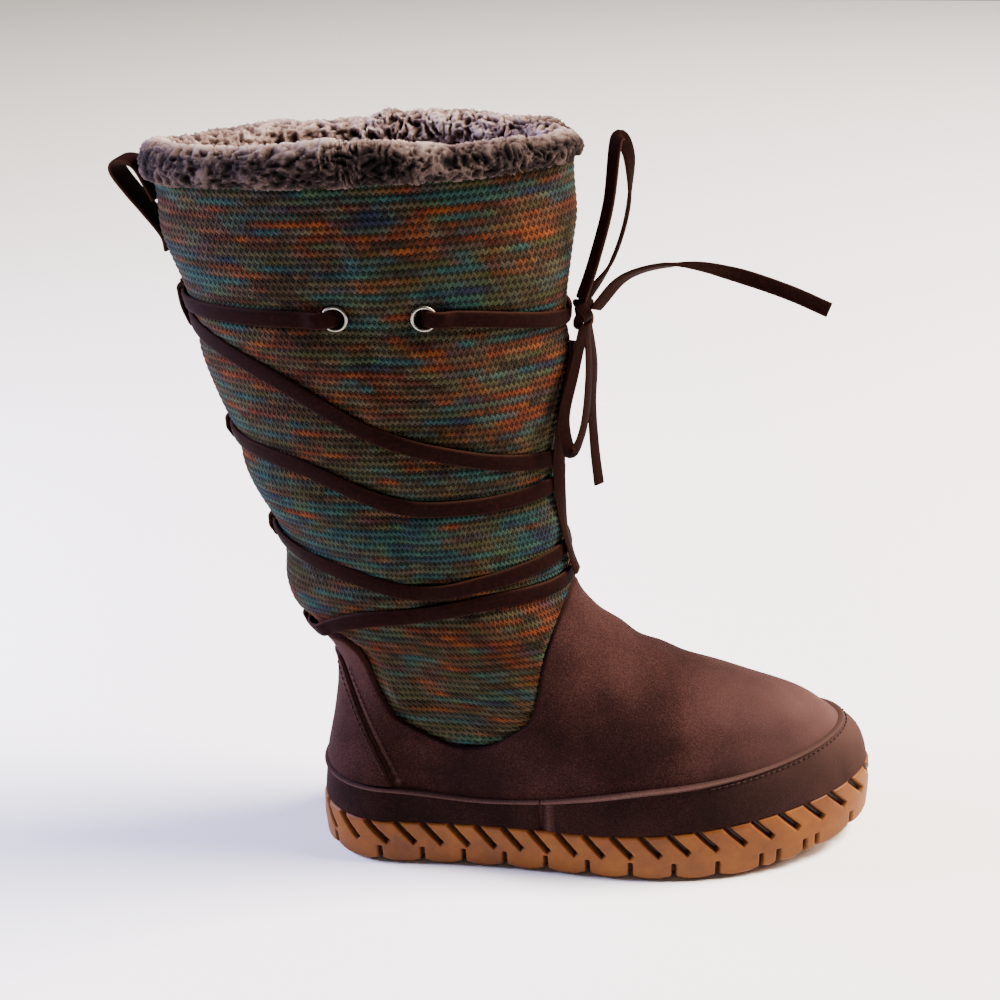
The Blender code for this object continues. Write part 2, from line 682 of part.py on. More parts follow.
# Laces that lie on the shaft.
def through(values, place):
    """A smooth curve through evenly spaced values, at a place from 0 to 1."""
    spot = min(1.0, max(0.0, place)) * (len(values) - 1)
    k = min(int(spot), len(values) - 2)
    t = spot - k
    a, b = values[k], values[k + 1]
    slope_a = 0.5 * (b - values[max(k - 1, 0)]) * (1.0 if k else 2.0)
    slope_b = 0.5 * (values[min(k + 2, len(values) - 1)] - a) * (2.0 if k + 2 == len(values)
                                                                 else 1.0)
    return ((2 * t**3 - 3 * t**2 + 1) * a + (t**3 - 2 * t**2 + t) * slope_a
            + (3 * t**2 - 2 * t**3) * b + (t**3 - t**2) * slope_b)


def bar_height(bar, turn):
    """Height of a lace bar at a turn."""
    height = bar[2] * COLLAR_HEIGHT
    for _ in range(3):
        back, front = section_at(height)[:2]
        place = (last_point(turn, height).x - back) / (front - back)
        height = through(bar, place) * COLLAR_HEIGHT
    return height


lace_base = 1.6 * GAP
for number, bar in enumerate(LACE_BARS, start=1):
    path, normals = [], []
    for turn in TURNS:
        height = bar_height(bar, turn)
        x = layer_point(turn, height, 0.0).x
        on_suede = height < suede_edge(x) + LACE_WIDTH
        out = lace_base + (SUEDE + GAP if on_suede else 0.0)
        path.append(layer_point(turn, height, out))
        normals.append(normal_at(turn, height))
    band(f"lace_bar_{number}", path, normals, LACE_WIDTH, LACE_THICK, True, LEATHER)

# The uppermost lace runs from the outer eyelet round the back to the inner one.
rear_outer = eyelet_spots["outer", "rear"][2]
rear_inner = eyelet_spots["inner", "rear"][2] - 1.0
clear = 0.5 * EYELET_OUTER + 0.0006
path, normals = [], []
steps = 22
for k in range(steps + 1):
    share = k / steps
    turn = blend(rear_inner, rear_outer, share)
    height = blend(LACE_TOP[1], LACE_TOP[0], math.sin(math.pi * share) ** 0.8) * COLLAR_HEIGHT
    path.append(layer_point(turn, height, lace_base))
    normals.append(normal_at(turn, height))


def trimmed(points, directions, start, end):
    """A path without the stretches that lie nearer than a distance to its ends."""
    kept = [k for k, p in enumerate(points)
            if (p - points[0]).length > start and (p - points[-1]).length > end]
    return [points[k] for k in kept], [directions[k] for k in kept]


path, normals = trimmed(path, normals, clear, clear)
top_lace = band("lace_bar_top", path, normals, LACE_WIDTH, LACE_THICK, False, LEATHER)

# From each front eyelet a lace runs forward to the knot.
knot_turn = 0.5
for side, word in ((-1, "outer"), (1, "inner")):
    front_turn = eyelet_spots[word, "front"][2]
    path, normals = [], []
    for k in range(13):
        share = k / 12
        turn = blend(front_turn, knot_turn + side * 0.007, share)
        height = blend(EYELET_HEIGHT, KNOT_HEIGHT, ease(share))
        path.append(layer_point(turn, height, lace_base))
        normals.append(normal_at(turn, height))
    path, normals = trimmed(path, normals, clear, -1.0)
    band(f"lace_tie_{word}", path, normals, LACE_WIDTH, LACE_THICK, False, LEATHER)

# A strand runs down the front from the knot, over the bars.
path, normals = [], []
strand_top = KNOT_HEIGHT - 0.012
for k in range(15):
    height = blend(strand_top, SUEDE_FRONT_TOP + 0.004, k / 14)
    turn = 0.5 - STRAND_TURN * through(STRAND_LINE, k / 14)
    lift = lace_base + LACE_THICK + 2.0 * GAP
    for bar in LACE_BARS:
        if height < SUEDE_FRONT_TOP + 1.5 * LACE_WIDTH:
            lift = lace_base + SUEDE + LACE_THICK + 3.0 * GAP
    path.append(layer_point(turn, height, lift))
    normals.append(normal_at(turn, height))
strand = band("lace_strand_front", path, normals, STRAND_WIDTH, LACE_THICK, False, LEATHER)

# Keepers on the back seam.
# Each is a short upright strap over its lace. The top one also holds the uppermost lace.
def across_path(points):
    """Normals square to a path that lies in the plane of symmetry, pointing backwards."""
    normals = []
    for k in range(len(points)):
        along = points[min(k + 1, len(points) - 1)] - points[max(k - 1, 0)]
        normals.append(Vector((-along.z, 0.0, along.x)).normalized())
    return normals


for number, bar in enumerate(LACE_BARS, start=1):
    low = bar[0] * COLLAR_HEIGHT - 0.5 * LACE_WIDTH
    high = (LACE_TOP[0] if number == 1 else bar[0]) * COLLAR_HEIGHT + 0.5 * LACE_WIDTH
    base = 1.6 * GAP + (SUEDE + GAP if low < suede_edge(0.0) else 0.0)
    over = base + LACE_THICK + 2.0 * GAP
    points = []
    for z, out in ((low - KEEPER_FOOT, base), (low - 0.45 * KEEPER_FOOT, base + 0.2 * over),
                   (low - 0.0004, over), (0.5 * (low + high), over + 0.0006),
                   (high + 0.0004, over), (high + 0.45 * KEEPER_FOOT, base + 0.2 * over),
                   (high + KEEPER_FOOT, base)):
        points.append(layer_point(0.0, z, out))
    band(f"lace_keeper_{number}", points, across_path(points), KEEPER_WIDTH, KEEPER_THICK,
         False, LEATHER)

# Pull tab.
tab_back = last_point(0.0, COLLAR_HEIGHT)
tab_foot = layer_point(0.0, TAB_FOOT, 1.5 * GAP)
outer_leg = [
    tab_foot,
    layer_point(0.0, TAB_FOOT + 0.007, 1.6 * GAP),
    Vector((tab_back.x - 0.28 * TAB_REACH, 0.0, tab_back.z - 0.0165)),
    Vector((tab_back.x - 0.68 * TAB_REACH, 0.0, tab_back.z - 0.0080)),
    Vector((tab_back.x - TAB_REACH, 0.0, tab_back.z + 0.0002)),
    Vector((tab_back.x - 0.90 * TAB_REACH, 0.0, tab_back.z + 0.0036)),
    Vector((tab_back.x - 0.50 * TAB_REACH, 0.0, tab_back.z + 0.0020)),
    layer_point(0.0, tab_back.z - 0.005, 2.0 * TAB_THICK + 2.0 * GAP),
    layer_point(0.0, tab_back.z - 0.012, TAB_THICK + 2.0 * GAP),
]
band("pull_tab", outer_leg, across_path(outer_leg), TAB_WIDTH, TAB_THICK, False, BROWN)


# Knot, loops and ends.
def smooth_route(route, count):
    """Points along a smooth curve through a route's own points, evenly spaced in its parameter."""
    points = [Vector(p) for p in route]
    padded = [2 * points[0] - points[1], *points, 2 * points[-1] - points[-2]]
    smooth = []
    for k in range(count + 1):
        place = k / count * (len(points) - 1)
        j = min(int(place), len(points) - 2)
        t = place - j
        a, b, c, d = padded[j:j + 4]
        smooth.append(0.5 * ((2 * b) + (c - a) * t + (2 * a - 5 * b + 4 * c - d) * t * t
                             + (3 * b - a - 3 * c + d) * t ** 3))
    return smooth


def cord(name, route, count, thick):
    curve = bpy.data.curves.new(name, "CURVE")
    curve.dimensions = "3D"
    line = curve.splines.new("POLY")
    points = smooth_route(route, count)
    line.points.add(len(points) - 1)
    for spot, point in zip(line.points, points):
        spot.co = (*point, 1.0)
    curve.bevel_depth = 0.5 * thick
    curve.bevel_resolution = 1
    curve.use_fill_caps = True
    curve.materials.append(LEATHER)
    made = bpy.data.objects.new(name, curve)
    made.parent = root
    boot.objects.link(made)
    return made


KNOT_X = layer_point(0.5, KNOT_HEIGHT, lace_base + LACE_THICK).x
bpy.ops.mesh.primitive_uv_sphere_add(segments=10, ring_count=7, radius=1.0)
knot = bpy.context.active_object
knot.name = "lace_knot"
knot.data.shade_smooth()
knot.data.materials.append(LEATHER)
knot.scale = (0.0048, 0.0060, 0.0062)
knot.location = (KNOT_X + 0.0048 + GAP, 0.0, KNOT_HEIGHT)
knot.parent = root
for owner in list(knot.users_collection):
    owner.objects.unlink(knot)
boot.objects.link(knot)
BOW_X = KNOT_X + 0.0048 + GAP
CORD = 0.0030
cord("bow_loop_up", [
    (BOW_X, -0.0024, KNOT_HEIGHT + 0.0063), (BOW_X + 0.006, -0.007, KNOT_HEIGHT + 0.024),
    (BOW_X + 0.013, -0.010, KNOT_HEIGHT + 0.050), (BOW_X + 0.0165, -0.009, KNOT_HEIGHT + 0.077),
    (BOW_X + 0.0205, -0.001, KNOT_HEIGHT + 0.068), (BOW_X + 0.019, 0.005, KNOT_HEIGHT + 0.044),
    (BOW_X + 0.012, 0.005, KNOT_HEIGHT + 0.022), (BOW_X + 0.001, 0.0024, KNOT_HEIGHT + 0.0063),
], 20, CORD)
cord("bow_loop_hanging", [
    (BOW_X, -0.0034, KNOT_HEIGHT - 0.0059), (BOW_X - 0.004, -0.014, KNOT_HEIGHT - 0.024),
    (BOW_X - 0.008, -0.021, KNOT_HEIGHT - 0.043), (BOW_X - 0.005, -0.022, KNOT_HEIGHT - 0.058),
    (BOW_X + 0.000, -0.017, KNOT_HEIGHT - 0.048), (BOW_X + 0.002, -0.009, KNOT_HEIGHT - 0.027),
    (BOW_X + 0.001, 0.0004, KNOT_HEIGHT - 0.0067),
], 16, CORD)
cord("lace_end_forward", [
    (BOW_X + 0.0058, -0.001, KNOT_HEIGHT + 0.0010), (BOW_X + 0.020, -0.010, KNOT_HEIGHT + 0.018),
    (BOW_X + 0.042, -0.020, KNOT_HEIGHT + 0.026), (BOW_X + 0.066, -0.026, KNOT_HEIGHT + 0.024),
    (BOW_X + 0.088, -0.030, KNOT_HEIGHT + 0.018), (BOW_X + 0.106, -0.033, KNOT_HEIGHT + 0.011),
], 14, CORD)
cord("lace_end_hanging", [
    (BOW_X + 0.001, 0.0044, KNOT_HEIGHT - 0.0052), (BOW_X + 0.003, 0.009, KNOT_HEIGHT - 0.026),
    (BOW_X + 0.002, 0.009, KNOT_HEIGHT - 0.046), (BOW_X + 0.003, 0.007, KNOT_HEIGHT - 0.066),
    (BOW_X + 0.005, 0.005, KNOT_HEIGHT - 0.084),
], 11, CORD)

# Centred on the origin.
bpy.context.view_layer.update()
graph = bpy.context.evaluated_depsgraph_get()
LOOSE = ("lace_knot", "bow_loop_up", "bow_loop_hanging", "lace_end_forward", "lace_end_hanging")
low = Vector((1e9, 1e9, 1e9))
high = -low
for made in boot.objects:
    if made.type == "EMPTY" or made.name in LOOSE:
        continue
    evaluated = made.evaluated_get(graph)
    for vertex in evaluated.to_mesh().vertices:
        spot = evaluated.matrix_world @ vertex.co
        for axis in range(3):
            low[axis] = min(low[axis], spot[axis])
            high[axis] = max(high[axis], spot[axis])
    evaluated.to_mesh_clear()
root.location = (-0.5 * (low.x + high.x), -0.5 * (low.y + high.y), -low.z)
bpy.context.view_layer.update()
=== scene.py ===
# %% [markdown]
# This lesson dresses a tall winter boot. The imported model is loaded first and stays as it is:
# it says where every piece of the boot lies, in metres, with the ground at z = 0.

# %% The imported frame
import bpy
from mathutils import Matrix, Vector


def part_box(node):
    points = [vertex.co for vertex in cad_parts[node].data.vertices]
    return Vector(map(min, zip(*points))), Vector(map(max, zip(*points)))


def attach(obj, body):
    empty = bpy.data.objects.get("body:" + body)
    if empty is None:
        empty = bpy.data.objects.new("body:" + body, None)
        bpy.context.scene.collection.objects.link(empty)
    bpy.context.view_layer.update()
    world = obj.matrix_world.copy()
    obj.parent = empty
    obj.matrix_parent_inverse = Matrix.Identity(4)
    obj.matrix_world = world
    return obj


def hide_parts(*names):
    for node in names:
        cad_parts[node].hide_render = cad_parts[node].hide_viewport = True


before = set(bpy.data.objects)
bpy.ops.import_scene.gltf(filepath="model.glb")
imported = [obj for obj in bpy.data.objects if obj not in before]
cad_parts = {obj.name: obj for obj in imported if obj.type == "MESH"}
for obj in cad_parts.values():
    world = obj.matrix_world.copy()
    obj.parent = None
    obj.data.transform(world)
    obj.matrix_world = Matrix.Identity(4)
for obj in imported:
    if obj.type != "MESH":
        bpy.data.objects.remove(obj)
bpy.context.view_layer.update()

import math

import bmesh
import bpy
import numpy as np
from mathutils import Vector, noise

# %% [markdown]
# The boot was drawn with its heel's back at x = 0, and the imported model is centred. Every
# length below is counted from the heel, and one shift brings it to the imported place.

# %% Sizes of the boot
HEEL_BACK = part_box("outsole")[0].x
SHIFT = np.array([HEEL_BACK, 0.0, 0.0])
LENGTH = 0.272  # outsole, heel to toe
BALL_WIDTH = 0.096  # outsole at the ball
HEEL_WIDTH = 0.074  # outsole at the heel
SOLE_HEIGHT = 0.0240  # ground to the sole's top edge, at the heel
TOE_LIFT = 0.015  # how much higher that edge is at the toe
TOE_SPRING = 0.011  # how far the toe's underside is off the ground
SPRING_START = 0.69  # where the underside starts to rise, as a share of LENGTH
SOLE_LEDGE = 0.005  # sole's edge outside the upper's own edge
ANKLE_HEIGHT = 0.140  # where the foot's sections end and the shaft's begin
COLLAR_HEIGHT = 0.334  # top edge of the knit, half way along it
COLLAR_TILT = 0.009  # how much higher that edge is at the front than at the back
INSTEP_DEPTH = 0.130  # shaft, back to front, just above the foot
COLLAR_DEPTH = 0.180  # shaft, back to front, at the collar
COLLAR_LEAN = 0.049  # how far the collar reaches back past the heel
SHAFT_BREADTH = 0.086  # shaft, side to side, at half height
WALL = 0.0035  # knit with its lining
GAP = 0.00035  # between two pieces that touch
SUEDE = 0.0015  # thickness of the suede foot and of the counter
ARCH_PINCH = 0.0065  # how far the waist draws in on the inner side
OUTER_PINCH = 0.0015  # the same on the outer side
REAR_SHARE = 0.25  # the share of each side's turns that goes round the heel
FRONT_SHARE = 0.50  # where the curve of the toe starts, as the same share
INNER_BALL = 0.045 * LENGTH  # how much further forward the inner side's ball lies
LOWEST = SOLE_HEIGHT + GAP
print("heel's back at", round(HEEL_BACK, 4), "m")

# %% [markdown]
# A shoe's upper follows a last, a solid foot shape. Here the last is a table of level
# sections: where each begins and ends, where the heel's and the toe's curves start, and how
# wide it is. The shaft has a shorter table of the same kind. A smooth curve joins the rows,
# so any number of points can be asked for, and every layer of the boot lies on one surface.

# %% The last's sections
FOOT_SECTIONS = (
    (0.155, 0.0184, 0.9816, 0.140, 0.610, 0.440, 0.450, 0.420, 0.094, 1.00),
    (0.245, 0.0213, 0.9750, 0.140, 0.600, 0.455, 0.458, 0.428, 0.094, 0.90),
    (0.330, 0.0250, 0.9640, 0.140, 0.585, 0.450, 0.454, 0.422, 0.090, 0.75),
    (0.400, 0.0330, 0.9420, 0.145, 0.560, 0.437, 0.440, 0.408, 0.080, 0.60),
    (0.457, 0.0400, 0.9180, 0.150, 0.530, 0.426, 0.425, 0.396, 0.068, 0.45),
    (0.514, 0.0460, 0.8830, 0.155, 0.490, 0.420, 0.412, 0.388, 0.052, 0.30),
    (0.557, 0.0500, 0.8200, 0.160, 0.455, 0.420, 0.402, 0.380, 0.036, 0.20),
    (0.600, 0.0535, 0.7390, 0.170, 0.425, 0.424, 0.394, 0.376, 0.024, 0.10),
    (0.664, 0.0560, 0.6560, 0.180, 0.390, 0.432, 0.388, 0.374, 0.012, 0.00),
    (0.721, 0.0545, 0.5940, 0.190, 0.360, 0.446, 0.385, 0.376, 0.004, 0.00),
    (0.786, 0.0400, 0.5440, 0.200, 0.335, 0.462, 0.386, 0.382, 0.000, 0.00),
    (0.850, 0.0160, 0.5050, 0.200, 0.315, 0.486, 0.392, 0.390, 0.000, 0.00),
    (0.914, -0.0050, 0.4770, 0.190, 0.300, 0.502, 0.397, 0.396, 0.000, 0.00),
)
SHAFT_SECTIONS = (
    (0.00, 0.090, 0.000, 0.448),
    (0.06, 0.120, 0.010, 0.458),
    (0.15, 0.210, 0.050, 0.470),
    (0.30, 0.400, 0.225, 0.486),
    (0.46, 0.585, 0.435, 0.500),
    (0.62, 0.740, 0.640, 0.512),
    (0.80, 0.885, 0.830, 0.530),
    (1.00, 1.000, 1.000, 0.552),
)
SHAFT_CURVES = (0.46, 0.56)  # where the back's curve ends and the front's starts, in depths
FOOT_UNITS = np.array([ANKLE_HEIGHT, LENGTH, LENGTH, LENGTH, LENGTH, HEEL_WIDTH, BALL_WIDTH,
                       BALL_WIDTH, BALL_WIDTH, 1.0])
rows = [np.array(row) * FOOT_UNITS for row in FOOT_SECTIONS]
for level, lean, depth, half in SHAFT_SECTIONS:
    back = -lean * COLLAR_LEAN
    deep = INSTEP_DEPTH + (COLLAR_DEPTH - INSTEP_DEPTH) * depth
    wide = half * SHAFT_BREADTH
    rows.append(np.array([ANKLE_HEIGHT + (COLLAR_HEIGHT - ANKLE_HEIGHT) * level, back,
                          back + deep, back + SHAFT_CURVES[0] * deep,
                          back + SHAFT_CURVES[1] * deep, wide, wide, wide, 0.0, 0.0]))
LEVELS = np.array([row[0] for row in rows])
SHAPES = np.array([row[1:] for row in rows])
print(len(rows), "sections from", LEVELS[0], "to", LEVELS[-1], "m")

# %% Soft steps and bumps

def ease(share):
    """A soft step from 0 to 1."""
    share = np.clip(share, 0.0, 1.0)
    return share * share * (3.0 - 2.0 * share)


def bell(away, wide):
    """A soft bump: 1 in its middle, and nearly gone at twice its width."""
    return np.exp(-(away / wide) ** 2)


def quarter_round(share):
    """How far a rounded edge has risen at a share of its width."""
    return np.sqrt(np.clip(1.0 - (1.0 - np.clip(share, 0.0, 1.0)) ** 2, 0.0, 1.0))


def run_along(line):
    """The length from a line's first point to each of its points."""
    return np.concatenate([[0.0], np.cumsum(np.linalg.norm(np.diff(line, axis=0), axis=1))])


print("half a soft step is", float(ease(0.5)))

# %% The boot's own surface


def sections(level):
    """The section at each level, by a smooth curve through the rows."""
    k = np.searchsorted(LEVELS[1:-1], level)
    before = np.maximum(k - 1, 0)
    after = np.minimum(k + 2, len(LEVELS) - 1)
    span = (LEVELS[k + 1] - LEVELS[k])[..., None]
    t = (level - LEVELS[k])[..., None] / span
    low, high = SHAPES[k], SHAPES[k + 1]
    rise_in = (high - SHAPES[before]) / (LEVELS[k + 1] - LEVELS[before])[..., None] * span
    rise_out = (SHAPES[after] - low) / (LEVELS[after] - LEVELS[k])[..., None] * span
    c = np.clip(t, 0.0, 1.0)
    curve = ((2 * c**3 - 3 * c**2 + 1) * low + (c**3 - 2 * c**2 + c) * rise_in
             + (3 * c**2 - 2 * c**3) * high + (c**3 - c**2) * rise_out)
    return curve + (t - c) * np.where(t < 0.0, rise_in, rise_out)


def toe_rise(x):
    return TOE_LIFT * (np.maximum(0.0, x / LENGTH - 0.5) / 0.5) ** 1.5


def sole_top(x):
    return SOLE_HEIGHT + toe_rise(x)


def underside(x):
    return TOE_SPRING * (np.maximum(0.0, x / LENGTH - SPRING_START) / (1 - SPRING_START)) ** 2


def surface(turn, level):
    """Points at turns, 0 at the back and 0.5 at the front by the outer side, and levels."""
    turn, level = np.broadcast_arrays(np.mod(turn, 1.0), level)
    side = np.where(turn < 0.5, -1.0, 1.0)
    along = np.where(turn < 0.5, 2.0 * turn, 2.0 - 2.0 * turn)
    shape = np.moveaxis(sections(level), -1, 0)
    back, front, heel, toe, heel_w, outer, inner, tip, arch = shape
    ball_w = np.where(side < 0.0, outer, inner)
    toe = toe + np.where(side > 0.0, INNER_BALL * arch, 0.0)
    pinch = np.where(side > 0.0, ARCH_PINCH, OUTER_PINCH) * arch
    round_heel = 0.5 * np.pi * along / REAR_SHARE
    share = np.clip((along - REAR_SHARE) / (FRONT_SHARE - REAR_SHARE), 0.0, 1.0)
    round_toe = 0.5 * np.pi * (along - FRONT_SHARE) / (1.0 - FRONT_SHARE)
    at_heel, at_toe = along < REAR_SHARE, along >= FRONT_SHARE
    waist = heel_w + (ball_w - heel_w) * ease(share) - pinch * np.sin(np.pi * share) ** 2
    x = np.where(at_heel, heel - (heel - back) * np.cos(round_heel),
                 np.where(at_toe, toe + (front - toe) * np.sin(round_toe),
                          heel + (toe - heel) * share))
    half = np.where(at_heel, heel_w * np.sin(round_heel),
                    np.where(at_toe, ball_w * np.cos(round_toe), waist))
    shift = np.where(at_toe, tip * np.sin(round_toe) ** 2, 0.0)
    fade = 1.0 - ease((level - LOWEST) / (0.5 * ANKLE_HEIGHT - LOWEST))
    near_top = ease((level - ANKLE_HEIGHT) / (COLLAR_HEIGHT - ANKLE_HEIGHT) * 2.0 - 1.0)
    tilt = COLLAR_TILT * ((x - back) / (front - back) - 0.5) * near_top
    return np.stack([x, side * half + shift, level + toe_rise(x) * fade + tilt], -1)


def outward(turn, level):
    across = surface(turn + 0.002, level) - surface(turn - 0.002, level)
    up = surface(turn, level + 0.0005) - surface(turn, level - 0.0005)
    away = np.cross(across, up)
    return away / np.linalg.norm(away, axis=-1, keepdims=True)


def skin(turn, level, out):
    """Points a distance outside the surface."""
    return surface(turn, level) + outward(turn, level) * np.asarray(out)[..., None]


def level_on(turn, height):
    """The level at each turn where the surface has a height, a number or a function of x."""
    low = np.zeros(np.shape(turn))
    high = low + 0.37
    for _ in range(30):
        middle = 0.5 * (low + high)
        spot = surface(turn, middle)
        under = spot[..., 2] < (height(spot[..., 0]) if callable(height) else height)
        low = np.where(under, middle, low)
        high = np.where(under, high, middle)
    return 0.5 * (low + high)


def laid(turn, height, out):
    """Points a distance outside the surface at a height, and the outward directions there."""
    level = level_on(turn, height)
    return skin(turn, level, out), outward(turn, level)


def turn_on(x, height, side):
    """The turn where the surface has this x at such a height, on the outer or inner side."""
    half_way = np.linspace(0.001, 0.499, 500)
    turn = half_way if side < 0 else 1.0 - half_way
    there = surface(turn, level_on(turn, height))[..., 0]
    found = np.interp(x, there, half_way)
    return found if side < 0 else 1.0 - found


def even_turns(level, count):
    """Turns that are evenly spaced along the surface at a level."""
    fine = np.arange(2001) / 2000.0
    run = run_along(surface(fine, level))
    return np.interp(np.arange(count) / count * run[-1], run, fine)


print("toe tip at", surface(0.5, LOWEST).round(4))

# %% [markdown]
# The camera stands where the photograph's did: to the outer side of the boot, a little ahead
# of its middle and looking down at 23 degrees. The lens is only shifted, which frames the
# boot and leaves its perspective alone.

# %% Camera
EYE = (0.1911, -0.6985, 0.4700)  # counted from the heel's back, as all places are
LOOKING = (-0.0320, 0.9179, -0.3955)  # the direction it looks in
ZOOM = 1.15
camera_data = bpy.data.cameras.new("camera")
camera = bpy.data.objects.new("camera", camera_data)
bpy.context.scene.collection.objects.link(camera)
camera.location = Vector(EYE) + Vector(SHIFT)
camera.rotation_euler = Vector(LOOKING).to_track_quat("-Z", "Y").to_euler()
camera_data.sensor_width = 36.0
camera_data.lens = ZOOM * 51.26
camera_data.shift_x = -ZOOM * 0.137
camera_data.shift_y = ZOOM * 0.016
camera_data.clip_start = 0.01
bpy.context.scene.camera = camera
print("camera", [round(v, 3) for v in camera.location], "lens", camera_data.lens)

# %% [markdown]
# Colours are written as sRGB hex values, as a colour picker shows them, and turned to the
# linear numbers that a shader works with. One small function adds a node with its settings
# and fills its sockets, so that each material reads as a list of its nodes.

# %% Colours and nodes


def linear(code):
    """An sRGB hex colour as linear red, green, blue and alpha."""
    parts = [int(code[k:k + 2], 16) / 255.0 for k in (1, 3, 5)]
    return tuple(c / 12.92 if c <= 0.04045 else ((c + 0.055) / 1.055) ** 2.4
                 for c in parts) + (1.0,)


def fill(made, sockets):
    """Gives each socket a number, a hex colour, or the node or output that feeds it."""
    for name, value in sockets.items():
        if isinstance(value, bpy.types.Node):
            value = value.outputs[0]
        if isinstance(value, bpy.types.NodeSocket):
            made.id_data.links.new(value, made.inputs[name])
        else:
            made.inputs[name].default_value = linear(value) if isinstance(value, str) else value


def add(tree, kind, sockets=None, **settings):
    """Adds a node. kind is its Blender type without the word ShaderNode in front."""
    made = tree.nodes.new("ShaderNode" + kind)
    for name, value in settings.items():
        setattr(made, name, value)
    fill(made, sockets or {})
    return made


def ramp(made, *stops):
    """Sets a colour ramp's stops, each a place and a hex colour."""
    band = made.color_ramp
    while len(band.elements) < len(stops):
        band.elements.new(0.5)
    for element, (place, code) in zip(band.elements, stops):
        element.position = place
        element.color = linear(code)
    return made


def new_material(name, **constants):
    """A material with its Principled shader, whose constants are set on its own sockets."""
    made = bpy.data.materials.new(name)
    made.use_nodes = True
    shader = made.node_tree.nodes["Principled BSDF"]
    fill(shader, {socket.replace("_", " "): value for socket, value in constants.items()})
    return made, made.node_tree, shader


print("suede brown is", [round(c, 3) for c in linear("#3c2626")])

# %% [markdown]
# The shaft is a thick knit of space-dyed wool: the yarn changes colour every few centimetres,
# so the rows carry long thin streaks of rust, orange, teal and green over an olive-brown
# ground. A stitch's place, counted in stitches round and rows up, is kept on the mesh, and the
# material works from it. Every stitch has a loop that stands up and a hole beside it, and the
# hole is darkened as painted shade.

# %% Stitches of the knit
ROWS_UP = 108.0
SWAY = 0.21  # how far a stitch's head leans up the row, in rows
knit_wool, tree, shader = new_material("space_dyed_wool_knit", Roughness=0.95,
                                       Sheen_Weight=0.06, Sheen_Roughness=0.5,
                                       Sheen_Tint="#a08c7c", Specular_IOR_Level=0.05)
place = add(tree, "Attribute", attribute_name="stitch")
split = add(tree, "SeparateXYZ", {0: place.outputs["Vector"]})
row = add(tree, "Math", {0: split.outputs[1]}, operation="FLOOR")
half = add(tree, "Math", {0: row, 1: 0.5}, operation="MULTIPLY")
stitch = add(tree, "Math", {0: split.outputs[0], 1: half}, operation="ADD")
turn_in = add(tree, "Math", {0: stitch, 1: 2.0 * math.pi}, operation="MULTIPLY")
wave = add(tree, "Math", {0: turn_in}, operation="COSINE")
sway = add(tree, "Math", {0: wave, 1: SWAY}, operation="MULTIPLY")
swayed = add(tree, "Math", {0: split.outputs[1], 1: sway}, operation="ADD")
up_angle = add(tree, "Math", {0: swayed, 1: math.pi}, operation="MULTIPLY")
up_wave = add(tree, "Math", {0: up_angle}, operation="SINE")
strand = add(tree, "Math", {0: up_wave}, operation="ABSOLUTE")
dent = add(tree, "MapRange", {0: wave, 1: -1.0, 2: 1.0, 3: 0.78, 4: 1.0})
relief = add(tree, "Math", {0: strand, 1: dent}, operation="MULTIPLY")

# Each stitch has a number of its own, which breaks up the ends of the streaks.
course = add(tree, "Math", {0: swayed}, operation="FLOOR")
loop = add(tree, "Math", {0: stitch}, operation="ROUND")
loop_place = add(tree, "CombineXYZ", {0: loop, 1: course})
chance = add(tree, "TexWhiteNoise", {0: loop_place}, noise_dimensions="2D")
dither = add(tree, "Math", {0: chance, 1: 0.045}, operation="MULTIPLY")

# One streak is about two dozen stitches long and one to three rows tall.
along = add(tree, "Math", {0: split.outputs[0], 1: 0.045}, operation="MULTIPLY")
tall = add(tree, "Math", {0: course, 1: 0.38}, operation="MULTIPLY")
streak = add(tree, "CombineXYZ", {0: along, 1: tall})
up_share = add(tree, "Math", {0: row, 1: ROWS_UP}, operation="DIVIDE")


def yarn_share(offset, scale, edge, *bands):
    """How much of a dye each stitch has. Bands of rows, from the foot up, favour it or not."""
    moved = add(tree, "VectorMath", {0: streak, 1: (offset, 2.7 * offset, 0.0)},
                operation="ADD")
    cloud = add(tree, "TexNoise", {0: moved, "Scale": scale, "Detail": 2.0, "Roughness": 0.55})
    favour = ramp(add(tree, "ValToRGB", {0: up_share}), *bands)
    lift = add(tree, "Math", {0: favour, 1: 0.24}, operation="MULTIPLY")
    raised = add(tree, "Math", {0: cloud, 1: lift}, operation="ADD")
    spread = add(tree, "Math", {0: raised, 1: dither}, operation="ADD")
    return add(tree, "MapRange", {0: spread, 1: edge, 2: edge + 0.15, 3: 0.0, 4: 0.92})


rust_share = yarn_share(7.3, 1.60, 0.545, (0.10, "#555555"), (0.24, "#303030"),
                        (0.38, "#b0b0b0"), (0.43, "#383838"), (0.50, "#0c0c0c"),
                        (0.58, "#303030"), (0.66, "#606060"), (0.74, "#c0c0c0"),
                        (0.80, "#383838"), (0.87, "#484848"), (0.93, "#b8b8b8"),
                        (0.985, "#202020"))
teal_share = yarn_share(53.1, 1.50, 0.555, (0.14, "#3c3c3c"), (0.22, "#585858"),
                        (0.36, "#202020"), (0.44, "#808080"), (0.50, "#dedede"),
                        (0.58, "#909090"), (0.64, "#303030"), (0.70, "#787878"),
                        (0.76, "#303030"), (0.87, "#a8a8a8"), (0.92, "#303030"),
                        (0.985, "#c8c8c8"))
print("knit has", int(ROWS_UP), "rows up to the collar")

# %% Dyes of the knit
FIBRES = 1900.0  # noise cells in a metre, so fibres lie about half a millimetre apart


def yarn_colour(scale, detail, *stops):
    """The colours that one dye wanders through along its streaks."""
    drift = add(tree, "TexNoise", {0: streak, "Scale": scale, "Detail": detail})
    mixed = add(tree, "Math", {0: drift, 1: dither}, operation="ADD")
    return ramp(add(tree, "ValToRGB", {0: mixed}), *stops)


